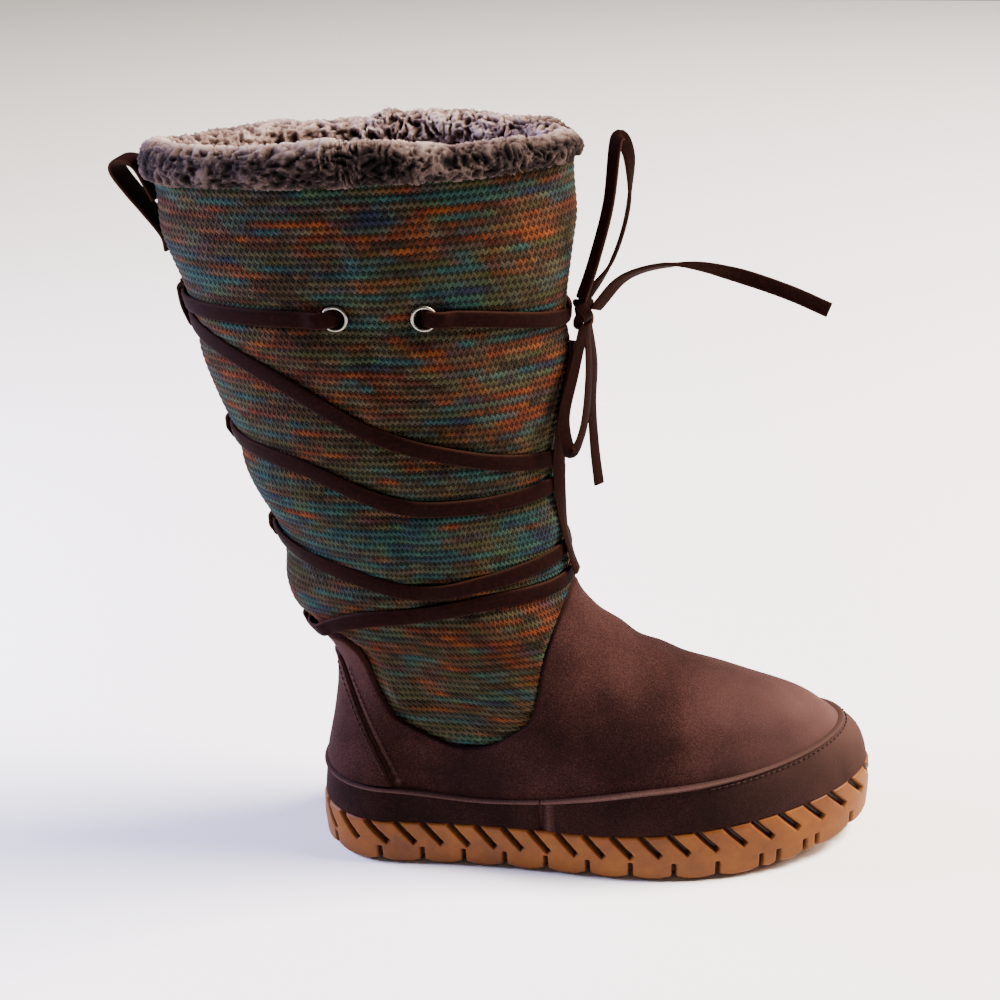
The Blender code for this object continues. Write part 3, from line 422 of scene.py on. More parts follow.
ground_colour = yarn_colour(1.9, 2.0, (0.36, "#18150e"), (0.45, "#251c11"), (0.53, "#302c1f"),
                            (0.61, "#262714"), (0.70, "#26160c"))
rust_colour = yarn_colour(2.7, 1.0, (0.40, "#2e130c"), (0.53, "#431b0d"), (0.68, "#54290f"))
teal_colour = yarn_colour(2.3, 1.0, (0.36, "#121a27"), (0.47, "#132a2c"), (0.58, "#183430"),
                          (0.70, "#263624"))
with_rust = add(tree, "Mix", {0: rust_share, 6: ground_colour, 7: rust_colour},
                data_type="RGBA")
dyed = add(tree, "Mix", {0: teal_share, 6: with_rust.outputs[2], 7: teal_colour},
           data_type="RGBA")
spot = add(tree, "TexCoord")
fuzz = add(tree, "TexNoise", {0: spot.outputs["Object"], "Scale": FIBRES, "Detail": 2.0,
                              "Roughness": 0.7})
fuzz_light = add(tree, "MapRange", {0: fuzz, 1: 0.3, 2: 0.7, 3: 0.66, 4: 1.38})
stitch_light = add(tree, "MapRange", {0: chance, 1: 0.0, 2: 1.0, 3: 0.82, 4: 1.18})
# Painted shade: the holes between stitches are darkened to about a quarter.
hole = add(tree, "MapRange", {0: relief, 1: 0.06, 2: 0.60, 3: 0.26, 4: 1.0})
lit = add(tree, "Math", {0: fuzz_light, 1: hole}, operation="MULTIPLY")
shade = add(tree, "Math", {0: lit, 1: stitch_light}, operation="MULTIPLY")
yarn = add(tree, "VectorMath", {0: dyed.outputs[2], 3: shade}, operation="SCALE")
fuzz_low = add(tree, "Math", {0: fuzz, 1: 0.30}, operation="MULTIPLY")
raised = add(tree, "Math", {0: relief, 1: fuzz_low}, operation="ADD")
bump = add(tree, "Bump", {"Height": raised, "Strength": 1.0, "Distance": 0.0009})
fill(shader, {"Base Color": yarn, "Normal": bump})
print("knit material has", len(tree.nodes), "nodes")

# %% [markdown]
# The foot is split leather with a brushed nap, which is what suede is. The nap catches light
# at a glancing angle, so it has sheen, and strokes of the hand leave slightly lighter and
# darker patches some centimetres across. The grain itself is under a millimetre. A paler colour
# is painted along the rand's bead, beside the heel counter's edge and beside the rand's waist
# seam as a painted highlight: the mesh keeps how much, as "edge". Toward the toe, the faces that
# look up are painted a paler brown, a painted highlight for light from above. So the material
# asks each face which way it looks and how far along the boot it lies.

# %% Suede material


def suede_finish(name, dark, middle, light, painted_top_light, pale_tone, grain_mm):
    made, nodes, base = new_material(name, Roughness=0.95, Sheen_Weight=0.09,
                                     Sheen_Roughness=0.35, Sheen_Tint="#b08a84",
                                     Specular_IOR_Level=0.04)
    at = add(nodes, "TexCoord").outputs["Object"]
    strokes = add(nodes, "TexNoise", {0: at, "Scale": 1.0 / 0.045, "Detail": 3.0,
                                      "Roughness": 0.5, "Distortion": 0.4})
    nap = add(nodes, "TexNoise", {0: at, "Scale": 1000.0 / grain_mm, "Detail": 3.0,
                                  "Roughness": 0.75})
    both = add(nodes, "Mix", {0: 0.62, 2: strokes, 3: nap})
    colour = ramp(add(nodes, "ValToRGB", {0: both}), (0.40, dark), (0.50, middle),
                  (0.60, light))
    # Painted highlight: the "edge" numbers mix in a paler colour along the bead, the counter's edge
    # and the waist seam.
    painted_edge_light = add(nodes, "Attribute", attribute_name="edge")
    edge_light_on_grain = add(nodes, "Math", {0: painted_edge_light.outputs["Fac"], 1: nap}, operation="MULTIPLY")
    with_edge_light = add(nodes, "Mix", {0: edge_light_on_grain, 6: colour, 7: pale_tone}, data_type="RGBA")
    # Painted highlight: faces that look up, toward the toe, are mixed toward a paler brown, as if lit
    # from above.
    faces = add(nodes, "NewGeometry")
    looking = add(nodes, "SeparateXYZ", {0: faces.outputs["Normal"]})
    upward = add(nodes, "MapRange", {0: looking.outputs["Z"], 1: -0.40, 2: 0.85, 3: 0.0, 4: 1.0})
    place = add(nodes, "SeparateXYZ", {0: at})
    toward_toe = add(nodes, "MapRange", {0: place.outputs["X"], 1: 0.075, 2: 0.165, 3: 0.10,
                                         4: 0.95})
    both_ways = add(nodes, "Math", {0: upward, 1: toward_toe}, operation="MULTIPLY")
    patchy = add(nodes, "Math", {0: strokes, 1: 1.2, 2: 0.25}, operation="MULTIPLY_ADD")
    painted_top_light_share = add(nodes, "Math", {0: patchy, 1: both_ways}, operation="MULTIPLY")
    with_painted_top_light = add(nodes, "Mix", {0: painted_top_light_share, 6: with_edge_light.outputs[2], 7: painted_top_light},
                data_type="RGBA")
    pebble = add(nodes, "TexNoise", {0: at, "Scale": 1.0 / 0.004, "Detail": 3.0})
    height = add(nodes, "Mix", {0: 0.30, 2: nap, 3: pebble})
    rise = add(nodes, "Bump", {"Height": height, "Strength": 0.55, "Distance": 0.0004})
    fill(base, {"Base Color": with_painted_top_light.outputs[2], "Normal": rise})
    return made


# Fourth colour: the painted highlight on upward faces toward the toe. Fifth: the painted highlight
# along edges and the bead.
chocolate_suede = suede_finish("chocolate_suede", "#0c0404", "#1b0b0a", "#301b18",
                               "#543c39", "#5e4540", 0.7)
rand_suede = suede_finish("waxed_rand_suede", "#080303", "#110606", "#20100e",
                          "#43302b", "#5a423d", 0.9)
print("suede materials ready")

# %% [markdown]
# The sole is moulded natural gum rubber: caramel-coloured and slightly satin. Its cuts are
# painted dark as painted shade: the mesh keeps how deep each point is cut, and the material
# darkens by it.

# %% Gum rubber material
gum_rubber, tree, shader = new_material("moulded_gum_rubber", Roughness=0.52,
                                        Specular_IOR_Level=0.14, Subsurface_Weight=0.08,
                                        Subsurface_Scale=0.002)
at = add(tree, "TexCoord").outputs["Object"]
mottle = add(tree, "TexNoise", {0: at, "Scale": 1.0 / 0.020, "Detail": 5.0, "Roughness": 0.65})
rubber = ramp(add(tree, "ValToRGB", {0: mottle}), (0.30, "#4c2709"), (0.50, "#5e340d"),
              (0.72, "#6c4113"))
# Painted shade: points cut deeper are mixed toward a dark brown.
cut = add(tree, "Attribute", attribute_name="cut")
inside = add(tree, "Mix", {0: cut.outputs["Fac"], 6: rubber, 7: "#1f0d06"}, data_type="RGBA")
speck = add(tree, "TexNoise", {0: at, "Scale": 1.0 / 0.0009, "Detail": 2.0})
rise = add(tree, "Bump", {"Height": speck, "Strength": 0.25, "Distance": 0.0002})
gloss = add(tree, "MapRange", {0: mottle, 1: 0.3, 2: 0.7, 3: 0.44, 4: 0.62})
fill(shader, {"Base Color": inside.outputs[2], "Normal": rise, "Roughness": gloss})
print("gum rubber ready")

# %% [markdown]
# The laces are flat cut leather, almost black, smooth on the grain side, a little lighter on
# the flesh side and palest on their raw cut edges, whose paleness is partly the raw leather and
# partly a painted highlight. The mesh keeps how pale each point is.

# %% Lace leather material
lace_leather, tree, shader = new_material("dark_lace_leather", Roughness=0.75,
                                          Specular_IOR_Level=0.02)
at = add(tree, "TexCoord").outputs["Object"]
grain = add(tree, "TexNoise", {0: at, "Scale": 1.0 / 0.0016, "Detail": 4.0})
raw_and_lit = add(tree, "Attribute", attribute_name="raw_and_lit")
smooth_side = ramp(add(tree, "ValToRGB", {0: grain}), (0.30, "#0c0403"), (0.60, "#150605"),
                   (0.80, "#1f0a07"))
# The cut edges' pale colour is partly raw leather and partly painted highlight.
both = add(tree, "Mix", {0: raw_and_lit.outputs["Fac"], 6: smooth_side, 7: "#2c1a14"},
           data_type="RGBA")
rise = add(tree, "Bump", {"Height": grain, "Strength": 0.3, "Distance": 0.0003})
fill(shader, {"Base Color": both.outputs[2], "Normal": rise})
print("lace leather ready")

# %% [markdown]
# The collar is a curly pile fleece. Its colour follows how high each point of the pile stands:
# paler on the tips and nearly black in the pits, painted light and painted shade. The outside
# of the roll is painted a dark grey-brown as painted shade, and the inside of the boot a pale
# cream as painted light, so two sets of colours are mixed. The mesh keeps how high each point
# of the pile stands, as "pile", and how far round to the inside it lies, as "within".

# %% Fleece material
pile_fleece, tree, shader = new_material("curly_pile_fleece", Roughness=0.95,
                                         Sheen_Weight=0.10, Sheen_Roughness=0.4,
                                         Sheen_Tint="#b09a94", Specular_IOR_Level=0.05)
at = add(tree, "TexCoord").outputs["Object"]
tip = add(tree, "Attribute", attribute_name="pile")
within = add(tree, "Attribute", attribute_name="within")
hair = add(tree, "TexNoise", {0: at, "Scale": 1.0 / 0.0009, "Detail": 3.0, "Roughness": 0.7,
                              "Distortion": 1.2})
# Painted light and shade by pile height: tips paler, pits nearly black.
share = add(tree, "Mix", {0: 0.45, 2: tip.outputs["Fac"], 3: hair})
# Painted shade on the outer roll and painted light on the inner side: two copies of one fleece.
shaded_outer_tuft = ramp(add(tree, "ValToRGB", {0: share}), (0.28, "#030303"), (0.44, "#0f0b0c"),
                  (0.60, "#271f1e"), (0.78, "#574843"))
lit_inner_tuft = ramp(add(tree, "ValToRGB", {0: share}), (0.28, "#241b18"), (0.44, "#5a4742"),
                  (0.60, "#937b73"), (0.78, "#c4b1a9"))
tuft = add(tree, "Mix", {0: within.outputs["Fac"], 6: shaded_outer_tuft, 7: lit_inner_tuft},
           data_type="RGBA")
rise = add(tree, "Bump", {"Height": hair, "Strength": 0.9, "Distance": 0.0010})
fill(shader, {"Base Color": tuft.outputs[2], "Normal": rise})
print("fleece ready")

# %% [markdown]
# The seams are sewn with waxed polyester thread, dark brown and only a little glossy, whose
# plies show as lighter and darker specks. The eyelets are nickel-plated steel, satin with
# duller patches where the laces have rubbed them.

# %% Thread and steel materials
waxed_thread, tree, shader = new_material("waxed_polyester_thread", Roughness=0.7,
                                          Specular_IOR_Level=0.10)
at = add(tree, "TexCoord").outputs["Object"]
ply = add(tree, "TexNoise", {0: at, "Scale": 1.0 / 0.0010, "Detail": 2.0})
plies = ramp(add(tree, "ValToRGB", {0: ply}), (0.3, "#1c0f0e"), (0.7, "#33201d"))
fill(shader, {"Base Color": plies})

satin_steel, tree, shader = new_material("satin_nickel_steel", Metallic=1.0, Roughness=0.3)
at = add(tree, "TexCoord").outputs["Object"]
pale_tone = add(tree, "TexNoise", {0: at, "Scale": 1.0 / 0.003, "Detail": 4.0})
nickel = ramp(add(tree, "ValToRGB", {0: pale_tone}), (0.3, "#6a665f"), (0.7, "#979288"))
dull = add(tree, "MapRange", {0: pale_tone, 1: 0.3, 2: 0.7, 3: 0.24, 4: 0.42})
fill(shader, {"Base Color": nickel, "Roughness": dull})
print("thread and steel ready")

# %% [markdown]
# Most pieces are grids of points: rows of them round the boot. One function makes such a grid
# a mesh, closes it round where asked, keeps extra numbers on its points, and puts it on the
# body "root", which is the whole boot, because nothing on a boot is hinged.

# %% Making a piece from a grid


def grid_faces(rows, cols, rows_close=False, cols_close=True):
    """The faces between neighbouring points of a grid, whose points are counted by rows."""
    r, c = np.meshgrid(np.arange(rows if rows_close else rows - 1),
                       np.arange(cols if cols_close else cols - 1), indexing="ij")
    here, above, beside = r * cols, (r + 1) % rows * cols, (c + 1) % cols
    return np.stack([here + c, here + beside, above + beside, above + c], -1).reshape(-1, 4)


def piece(name, grid, finish, closed=True, keep=None, slot=None, stands_for=(), **numbers):
    """A mesh from rows of points. keep says which faces stay, and numbers go on the points."""
    faces = grid_faces(*grid.shape[:2], cols_close=closed)
    if keep is not None:
        faces = faces[keep.ravel()[faces].any(1)]
    return finished(name, grid.reshape(-1, 3), faces.tolist(), finish, stands_for, numbers)


def finished(name, points, faces, finish, stands_for, numbers):
    """Puts a mesh in the scene, with its numbers, its finish, and what the frame asks."""
    mesh = bpy.data.meshes.new(name)
    mesh.from_pydata((np.asarray(points) + SHIFT).tolist(), [], faces)
    for key, values in numbers.items():
        values = np.asarray(values, float)
        vector = values.shape[-1] == 3 and values.size == 3 * len(mesh.vertices)
        layer = mesh.attributes.new(key, "FLOAT_VECTOR" if vector else "FLOAT", "POINT")
        layer.data.foreach_set("vector" if vector else "value", values.ravel())
    loose = bmesh.new()
    loose.from_mesh(mesh)
    bmesh.ops.delete(loose, geom=[v for v in loose.verts if not v.link_faces], context="VERTS")
    loose.to_mesh(mesh)
    loose.free()
    mesh.shade_smooth()
    mesh.materials.append(finish)
    made = bpy.data.objects.new(name, mesh)
    bpy.context.scene.collection.objects.link(made)
    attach(made, "root")
    if stands_for:
        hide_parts(*stands_for)
    print(name, len(mesh.polygons), "faces")
    return made


print("one cell of a grid has the points", grid_faces(2, 2, cols_close=False).tolist())

# %% [markdown]
# The laces go round the shaft in four bars, and a fifth runs between the rear eyelets round
# the back. Their heights come before the knit, because the slack knit is drawn in under each
# lace and swells a little between them.

# %% Where the laces and the suede's edge run
# Each bar's heights from the back to the front, as shares of COLLAR_HEIGHT.
LACE_BARS = np.array((
    (0.799, 0.743, 0.672, 0.637, 0.608),
    (0.642, 0.622, 0.575, 0.569, 0.573),
    (0.497, 0.469, 0.4445, 0.4565, 0.473),
    (0.352, 0.393, 0.410, 0.4260, 0.428),
))
LACE_TOP = (0.8235, 0.829)  # the uppermost lace, at the back and at its eyelets
LACE_WIDTH = 0.0074
LACE_THICK = 0.0019
LACE_BASE = 1.6 * GAP
LACE_LIES = LACE_BASE + 0.0002  # how far outside the surface a lace's underside lies
TIE_START = 0.007  # how far from the front, in turns, the ties leave the knot
STRAND_TURN = 0.045
STRAND_LINE = np.array((0.20, 0.85, 1.00, 0.90, 0.60))
KNOT_HEIGHT = 0.268  # of the knot's middle
EYELET_HEIGHT = 0.277  # of the eyelets' middles
EYELET_PLACES = (0.034, 0.071)  # x of the rear and the front one on each side
SUEDE_FRONT_TOP = 0.141  # the suede's top edge over the instep
SUEDE_BACK_TOP = 0.118  # and at the back of the heel
SUEDE_DIP = 0.064  # the lowest point of its cut-out on either side
# The top edge of the suede: x as a share of LENGTH, and height above the dip as a share.
SUEDE_LINE = np.array((
    (0.081, 1.000), (0.103, 0.907), (0.118, 0.778), (0.132, 0.556), (0.151, 0.352),
    (0.165, 0.259), (0.195, 0.167), (0.224, 0.093), (0.257, 0.020), (0.287, 0.000),
    (0.316, 0.015), (0.342, 0.052), (0.371, 0.130), (0.397, 0.208), (0.408, 0.299),
    (0.4155, 0.416), (0.423, 0.610), (0.4375, 0.740), (0.452, 0.844), (0.475, 1.000),
))
DIP_ROW = 9  # the row of SUEDE_LINE at its lowest point


def through(values, place):
    """A smooth curve through evenly spaced values, at places from 0 to 1."""
    last = len(values) - 1
    spot = np.clip(place, 0.0, 1.0) * last
    k = np.minimum(spot.astype(int), last - 1)
    t = spot - k
    a, b = values[k], values[k + 1]
    slope_a = 0.5 * (b - values[np.maximum(k - 1, 0)]) * np.where(k > 0, 1.0, 2.0)
    slope_b = 0.5 * (values[np.minimum(k + 2, last)] - a) * np.where(k + 2 > last, 2.0, 1.0)
    return ((2 * t**3 - 3 * t**2 + 1) * a + (t**3 - 2 * t**2 + t) * slope_a
            + (3 * t**2 - 2 * t**3) * b + (t**3 - t**2) * slope_b)


def bar_level(bar, turn):
    """The level of a lace bar's middle at each turn."""
    height = np.full(np.shape(turn), bar[2] * COLLAR_HEIGHT)
    for _ in range(4):
        back, front = np.moveaxis(sections(height), -1, 0)[:2]
        share = (surface(turn, height)[..., 0] - back) / (front - back)
        height = through(bar, share) * COLLAR_HEIGHT
    return level_on(turn, height)


def tie_height(share):
    """Height of a tie at a share of its way from the knot to its eyelet."""
    return KNOT_HEIGHT + (EYELET_HEIGHT - KNOT_HEIGHT) * ease(share)


line_x, line_share = SUEDE_LINE.T
line_top = np.where(np.arange(len(line_x)) < DIP_ROW, SUEDE_BACK_TOP, SUEDE_FRONT_TOP)
fine_x = np.linspace(0.0, LENGTH, 545)
fine_edge = np.interp(fine_x, line_x * LENGTH, SUEDE_DIP + (line_top - SUEDE_DIP) * line_share)
soften = np.hanning(13) / np.hanning(13).sum()
fine_edge = np.convolve(np.pad(fine_edge, 6, mode="edge"), soften, "valid")


def suede_edge(x):
    """Height of the suede's top edge: high at the heel and the instep, low between them."""
    return np.interp(x, fine_x, fine_edge)


eyelets = {}
for side, word in ((-1, "outer"), (1, "inner")):
    for place_x, order in zip(EYELET_PLACES, ("rear", "front")):
        turn = turn_on(place_x, EYELET_HEIGHT, side)
        eyelets[word, order] = (turn, level_on(turn, EYELET_HEIGHT))
print("eyelets at turns", {k: round(float(v[0]), 3) for k, v in eyelets.items()})

# %% [markdown]
# The knit is one tube from under the suede to the collar. Its rows are modelled: each row of
# stitches is a ridge 3.1 mm tall. Then the tube is drawn in under the laces and puffs out
# between them, most at the back above the ankle. It dips into the eyelets, and beside the
# heel's suede it folds inwards. Faces that the suede hides are left out.

# %% How near each point of the knit is to a lace
ROW = 0.0031
WALES = 165
KNIT_FOOT = 0.0560
levels = np.arange(KNIT_FOOT, COLLAR_HEIGHT + 1e-6, ROW / 4.0)
turns = even_turns(0.22, 280)
turn_grid, level_grid = np.meshgrid(turns, levels)
flat = surface(turn_grid, level_grid)
steps = np.linalg.norm(np.roll(flat, -1, 1) - flat, axis=-1)
arc_share = (np.cumsum(steps, 1) - steps) / steps.sum(1, keepdims=True)
near = np.full(flat.shape[:2], 1.0)
for bar in LACE_BARS:
    near = np.minimum(near, np.abs(level_grid - bar_level(bar, turns)))
from_back = np.minimum(turns, 1.0 - turns)
from_top_lace = np.abs(level_grid - level_on(turns, COLLAR_HEIGHT * LACE_TOP[1]))
behind = from_back < eyelets["outer", "rear"][0]
near = np.where(behind, np.minimum(near, from_top_lace), near)
beside_knot = np.abs(turns - 0.5)
tie_reach = np.where(turns < 0.5, 0.5 - eyelets["outer", "front"][0],
                     eyelets["inner", "front"][0] - 0.5)
tie_share = (beside_knot - TIE_START) / (tie_reach - TIE_START)
from_tie = np.abs(level_grid - level_on(turns, tie_height(tie_share)))
near = np.where(beside_knot < tie_reach, np.minimum(near, from_tie), near)
print("knit has", near.size, "points,", int((near < 0.5 * LACE_WIDTH).sum()), "under laces")

# %% Knit shaft
PUFF = 0.0019  # how far the knit swells between two laces
ANKLE_PUFF = 0.0013  # how much further it does at the back, above the ankle
SLACK = 0.0008
RIDGE = 0.00058
FOLD = 0.0022  # how far it tucks in at the suede's edge
REAR_LINE = slice(155, None, -1)  # the heel's part of the suede's edge, from the dip back
puff = PUFF + ANKLE_PUFF * bell(level_grid - 0.143, 0.016) * bell(from_back, 0.09)
swell = puff * (1.0 - bell(near, 0.011)) - 0.0006 * bell(near, 0.0045)
calm = ease((COLLAR_HEIGHT - level_grid) / 0.03)
slack = SLACK * (np.sin(37.0 * turn_grid + 61.0 * level_grid)
                 + np.sin(23.0 * turn_grid - 97.0 * level_grid + 1.0)) * calm
slack = slack * (1.0 - 0.9 * bell(near, 0.007))
ridge = RIDGE * np.abs(np.sin(np.pi * level_grid / ROW)) ** 0.8
pit = np.zeros(flat.shape[:2])
for turn, level in eyelets.values():
    gone = np.linalg.norm(flat - surface(turn, level), axis=-1)
    slack = slack * ease((gone - 0.008) / 0.012)
    swell = swell * ease((gone - 0.006) / 0.010)
    pit = np.maximum(pit, np.exp(-(gone / 0.0042) ** 6))
edge_in = flat[..., 2] - suede_edge(flat[..., 0])
tuck = -FOLD * (1.0 - ease((edge_in + 0.001) / 0.005))
rear_edge_x = np.interp(flat[..., 2], fine_edge[REAR_LINE], fine_x[REAR_LINE])
fold_in = bell(flat[..., 0] - rear_edge_x - 0.0035, 0.0036)
fold_in *= ease((flat[..., 2] - 0.072) / 0.012) * ease((0.119 - flat[..., 2]) / 0.008)
out = ((swell + slack) * ease(edge_in / 0.012) * calm + ridge * (1.0 - pit) + tuck
       - FOLD * fold_in - 0.0060 * pit)
knit = flat + outward(turn_grid, level_grid) * out[..., None]
stitches = np.stack([arc_share * WALES, level_grid / ROW, out], -1)
piece("knit_shaft", knit, knit_wool, slot="knit", stands_for=["upper"],
      keep=edge_in > -0.003, stitch=stitches)

# %% [markdown]
# The suede foot is drawn from the same last, one layer out. Its rows run from the sole to its
# own top edge, which dips into a U on either side. The last rows are close together and round
# the cut edge over, so that its thickness shows against the knit.

# %% Suede foot
ROUNDING = np.array([0.0, 0.0001, 0.0003, 0.0006, 0.0010, 0.0015, 0.0022])
EDGE_ROUND = 0.0012
CREASES = ((0.137, 0.30, 0.0009, 0.0060), (0.152, 0.42, 0.0012, 0.0065),
           (0.170, 0.55, 0.0007, 0.0070))
turns = np.arange(420) / 420.0
top_levels = level_on(turns, suede_edge)
below_edge = top_levels - ROUNDING[-1]
level_grid = np.stack([top_levels - d for d in ROUNDING]
                      + [below_edge + (LOWEST - below_edge) * share
                         for share in np.linspace(0.0, 1.0, 77)[1:]])
turn_grid = np.broadcast_to(turns, level_grid.shape)
from_edge = top_levels - level_grid
flat = surface(turn_grid, level_grid)


def creases(spot):
    """Walking folds across the instep, each listed as x, lean, depth and width."""
    total = np.zeros(spot.shape[:-1])
    fade = bell(spot[..., 2] - 0.104, 0.022)
    for x, lean, depth, wide in CREASES:
        across = spot[..., 0] - x - lean * (0.115 - spot[..., 2]) * 0.6
        total -= depth * bell(across, wide) * fade
        total += 0.6 * depth * bell(across - 1.7 * wide, wide) * fade
    return total


def counter_edge(height):
    """x of the counter's slanted front edge at a height."""
    return np.interp(height, (0.043, 0.0816, 0.104), (0.0430, 0.0272, 0.0180))


soft = (0.00045 * np.sin(58.0 * flat[..., 0] + 40.0 * flat[..., 2])
        + 0.00030 * np.sin(95.0 * flat[..., 0] - 70.0 * flat[..., 2] + 90.0 * flat[..., 1]))
out = (GAP + SUEDE * quarter_round(from_edge / EDGE_ROUND) + creases(flat)
       + soft * ease(from_edge / 0.02))
suede_grid = flat + outward(turn_grid, level_grid) * out[..., None]
under_edge = skin(turns, top_levels, -0.0012)
# Painted highlight: a narrow pale line on the suede beside the counter's front edge.
beside_counter = (flat[..., 0] - counter_edge(flat[..., 2]) - 0.0019) / 0.0008
flap_edge_light = np.exp(-beside_counter**2) * ease((0.106 - flat[..., 2]) / 0.006)
piece("suede_foot_panels", np.concatenate([under_edge[None], suede_grid]), chocolate_suede,
      slot="suede", stands_for=["suede_foot"],
      edge=0.5 * np.concatenate([flap_edge_light[:1], flap_edge_light]))

# %% [markdown]
# Above the sole runs a strip in two pieces, heel and front, with an upright seam at the
# waist. Its top edge is turned over a cord, so it stands up as a narrow rounded bead that
# catches the light, and the bead's crest and the front piece's ends by the seam are painted
# paler as a painted highlight. The bead flattens round the toe, where a row of stitches shows.
# The heel counter is a separate piece over the back, with a slanted seam, and a thin dark cord
# lies in that seam as a painted shadow line.

# %% Rand
RAND_HEIGHT = 0.0175
RAND_SEAM = 0.415 * LENGTH
OVER_SUEDE = 2.0 * GAP + SUEDE
BEAD = 0.00085  # half the bead's height
BEAD_PROUD = 0.00125
STRIP = 0.0200
STRIP_ROWS = 0.0001 * np.array([-4, 0, 1, 3, 5, 7, 9, 11, 13, 15, 17, 20, 23, 27, 34, 45, 60, 80,
                                105, 130, 155, 180, 200])


def rand_top(x):
    """Height of the strip above the sole: lowest at the waist, highest round the toe."""
    share = x / LENGTH
    return RAND_HEIGHT * (1.08 - 0.24 * bell(share - 0.31, 0.13) + 0.30 * ease((share - 0.40) / 0.22))


def down_rand(d):
    """The height, by x, at a distance down the strip, whose full height counts as STRIP."""
    def height_of(x):
        low = sole_top(x) + 1.6 * GAP
        top = sole_top(x) + rand_top(x)
        return top - (top - low) * min(d / STRIP, 1.0)
    return height_of


def rand_grid(start, end, count, seam_end_light):
    """Rows of the strip from one turn function to another, with its bead, and where a painted
    highlight goes.
    """
    grid, painted_edge_light = [], []
    across = np.linspace(0.0, 1.0, count)
    ends = np.minimum(across, across[::-1]) * count
    for d in STRIP_ROWS:
        height_of = down_rand(d)
        first, last = start(height_of), end(height_of)
        turn = first + (last - first) * across
        level = level_on(turn, height_of)
        x = surface(turn, level)[:, 0]
        bead = 1.0 - 0.45 * ease((x / LENGTH - 0.72) / 0.16)
        crest = np.sqrt(np.clip(1.0 - ((d - BEAD) / BEAD) ** 2, 0.0, 1.0))
        body = 0.00115 * ease(d / 0.0009) + 0.0007 * ease((d - 0.002) / 0.018)
        proud = body + BEAD_PROUD * bead * crest - 0.0012 * (d < 0.0)
        sunk = (1.0 - quarter_round(ends / 2.0)) * (0.2 + 0.8 * ease((d - 0.0018) / 0.0010))
        grid.append(skin(turn, level, OVER_SUEDE + proud - 0.0018 * sunk))
        # Painted highlight: a pale line along the bead's crest, and a pale band at the front piece's
        # ends by the waist seam.
        line = bell(d - BEAD, 0.0007) * (0.35 + 0.65 * bead)
        painted_edge_light.append(np.maximum(line, seam_end_light * bell(ends - 2.3, 0.8)))
    return np.stack(grid), np.stack(painted_edge_light)


def seam_turn(x, side):
    return lambda height_of: turn_on(x, height_of, side)


heel_side, front_side = RAND_SEAM - GAP, RAND_SEAM + GAP
heel_strip = rand_grid(lambda h: seam_turn(heel_side, 1)(h) - 1.0, seam_turn(heel_side, -1),
                       220, 0.0)
front_strip = rand_grid(seam_turn(front_side, -1), seam_turn(front_side, 1), 340, 0.5)
for word, (strip, painted_edge_light) in (("heel", heel_strip), ("front", front_strip)):
    piece(f"{word}_rand", strip, rand_suede, closed=False, slot="suede",
          stands_for=[f"rand_{word}"], edge=painted_edge_light)

# %% Heel counter
COUNTER_TOP = 0.104
COUNTER_FOOT = 0.047
COUNTER_WIDE = 0.12  # its length round the heel, from edge to edge
COUNTER_TALL = 0.058


def up_counter(share):
    """The height, by x, at a share of the way up the counter."""
    def height_of(x):
        foot = sole_top(x) + rand_top(x) + 3.0 * GAP
        return foot + (COUNTER_TOP - foot) * share
    return height_of


counter_rows = []
steps = np.concatenate([[0.0, 0.002, 0.006, 0.012, 0.02], np.linspace(0.04, 0.96, 26),
                        [0.98, 0.988, 0.994, 0.998, 1.0]])
around = np.concatenate([[0.0, 0.003, 0.008, 0.016, 0.03], np.linspace(0.05, 0.95, 70),
                         [0.97, 0.984, 0.992, 0.997, 1.0]])
for share in steps:
    height_of = up_counter(share)
    edge_x = counter_edge(COUNTER_FOOT + (COUNTER_TOP - COUNTER_FOOT) * share)
    first = turn_on(edge_x, height_of, 1) - 1.0
    last = turn_on(edge_x, height_of, -1)
    turn = first + (last - first) * around
    from_side = np.minimum(around, 1.0 - around) * COUNTER_WIDE
    reach = np.minimum(from_side, (1.0 - share) * COUNTER_TALL) / 0.0008
    proud = SUEDE * quarter_round(reach)
    counter_rows.append(skin(turn, level_on(turn, height_of), OVER_SUEDE - 0.0006 + proud))
piece("heel_counter_panel", np.stack(counter_rows), chocolate_suede, closed=False,
      slot="suede", stands_for=["heel_counter"])

# %% [markdown]
# Seams are sewn with waxed thread. Every stitch is modelled as a short bar that rises out of
# the leather and sinks into it again. The thin dark cord in the counter's seam is a painted
# shadow line, where the seam's overlap is in shade.

# %% Seams


def stitch_row(name, line, facing_to, pitch, long, thick):
    """A row of stitches along a line of points that lies on the leather."""
    run = run_along(line)
    middles = np.arange(0.5 * pitch, run[-1] - 0.5 * long, pitch)
    bars = np.linspace(-0.5, 0.5, 7)
    places = middles[:, None] + bars[None, :] * long
    centre = np.stack([np.interp(places, run, line[:, k]) for k in range(3)], -1)
    up = np.stack([np.interp(places, run, facing_to[:, k]) for k in range(3)], -1)
    forward = np.gradient(centre, axis=1)
    forward /= np.linalg.norm(forward, axis=-1, keepdims=True)
    beside = np.cross(forward, up)
    rise = np.sqrt(1.0 - (2.0 * bars) ** 2)[None, :, None] * thick - 0.35 * thick
    centre = centre + up * rise
    angle = (np.arange(6) / 6.0 * 2.0 * np.pi)[:, None]
    tube = (centre[:, :, None] + 0.5 * thick * (
        np.cos(angle) * beside[:, :, None] + np.sin(angle) * up[:, :, None]))
    faces = grid_faces(7, 6) + 42 * np.arange(len(middles))[:, None, None]
    finished(name, tube.reshape(-1, 3), faces.reshape(-1, 4).tolist(), waxed_thread,
             (), {})


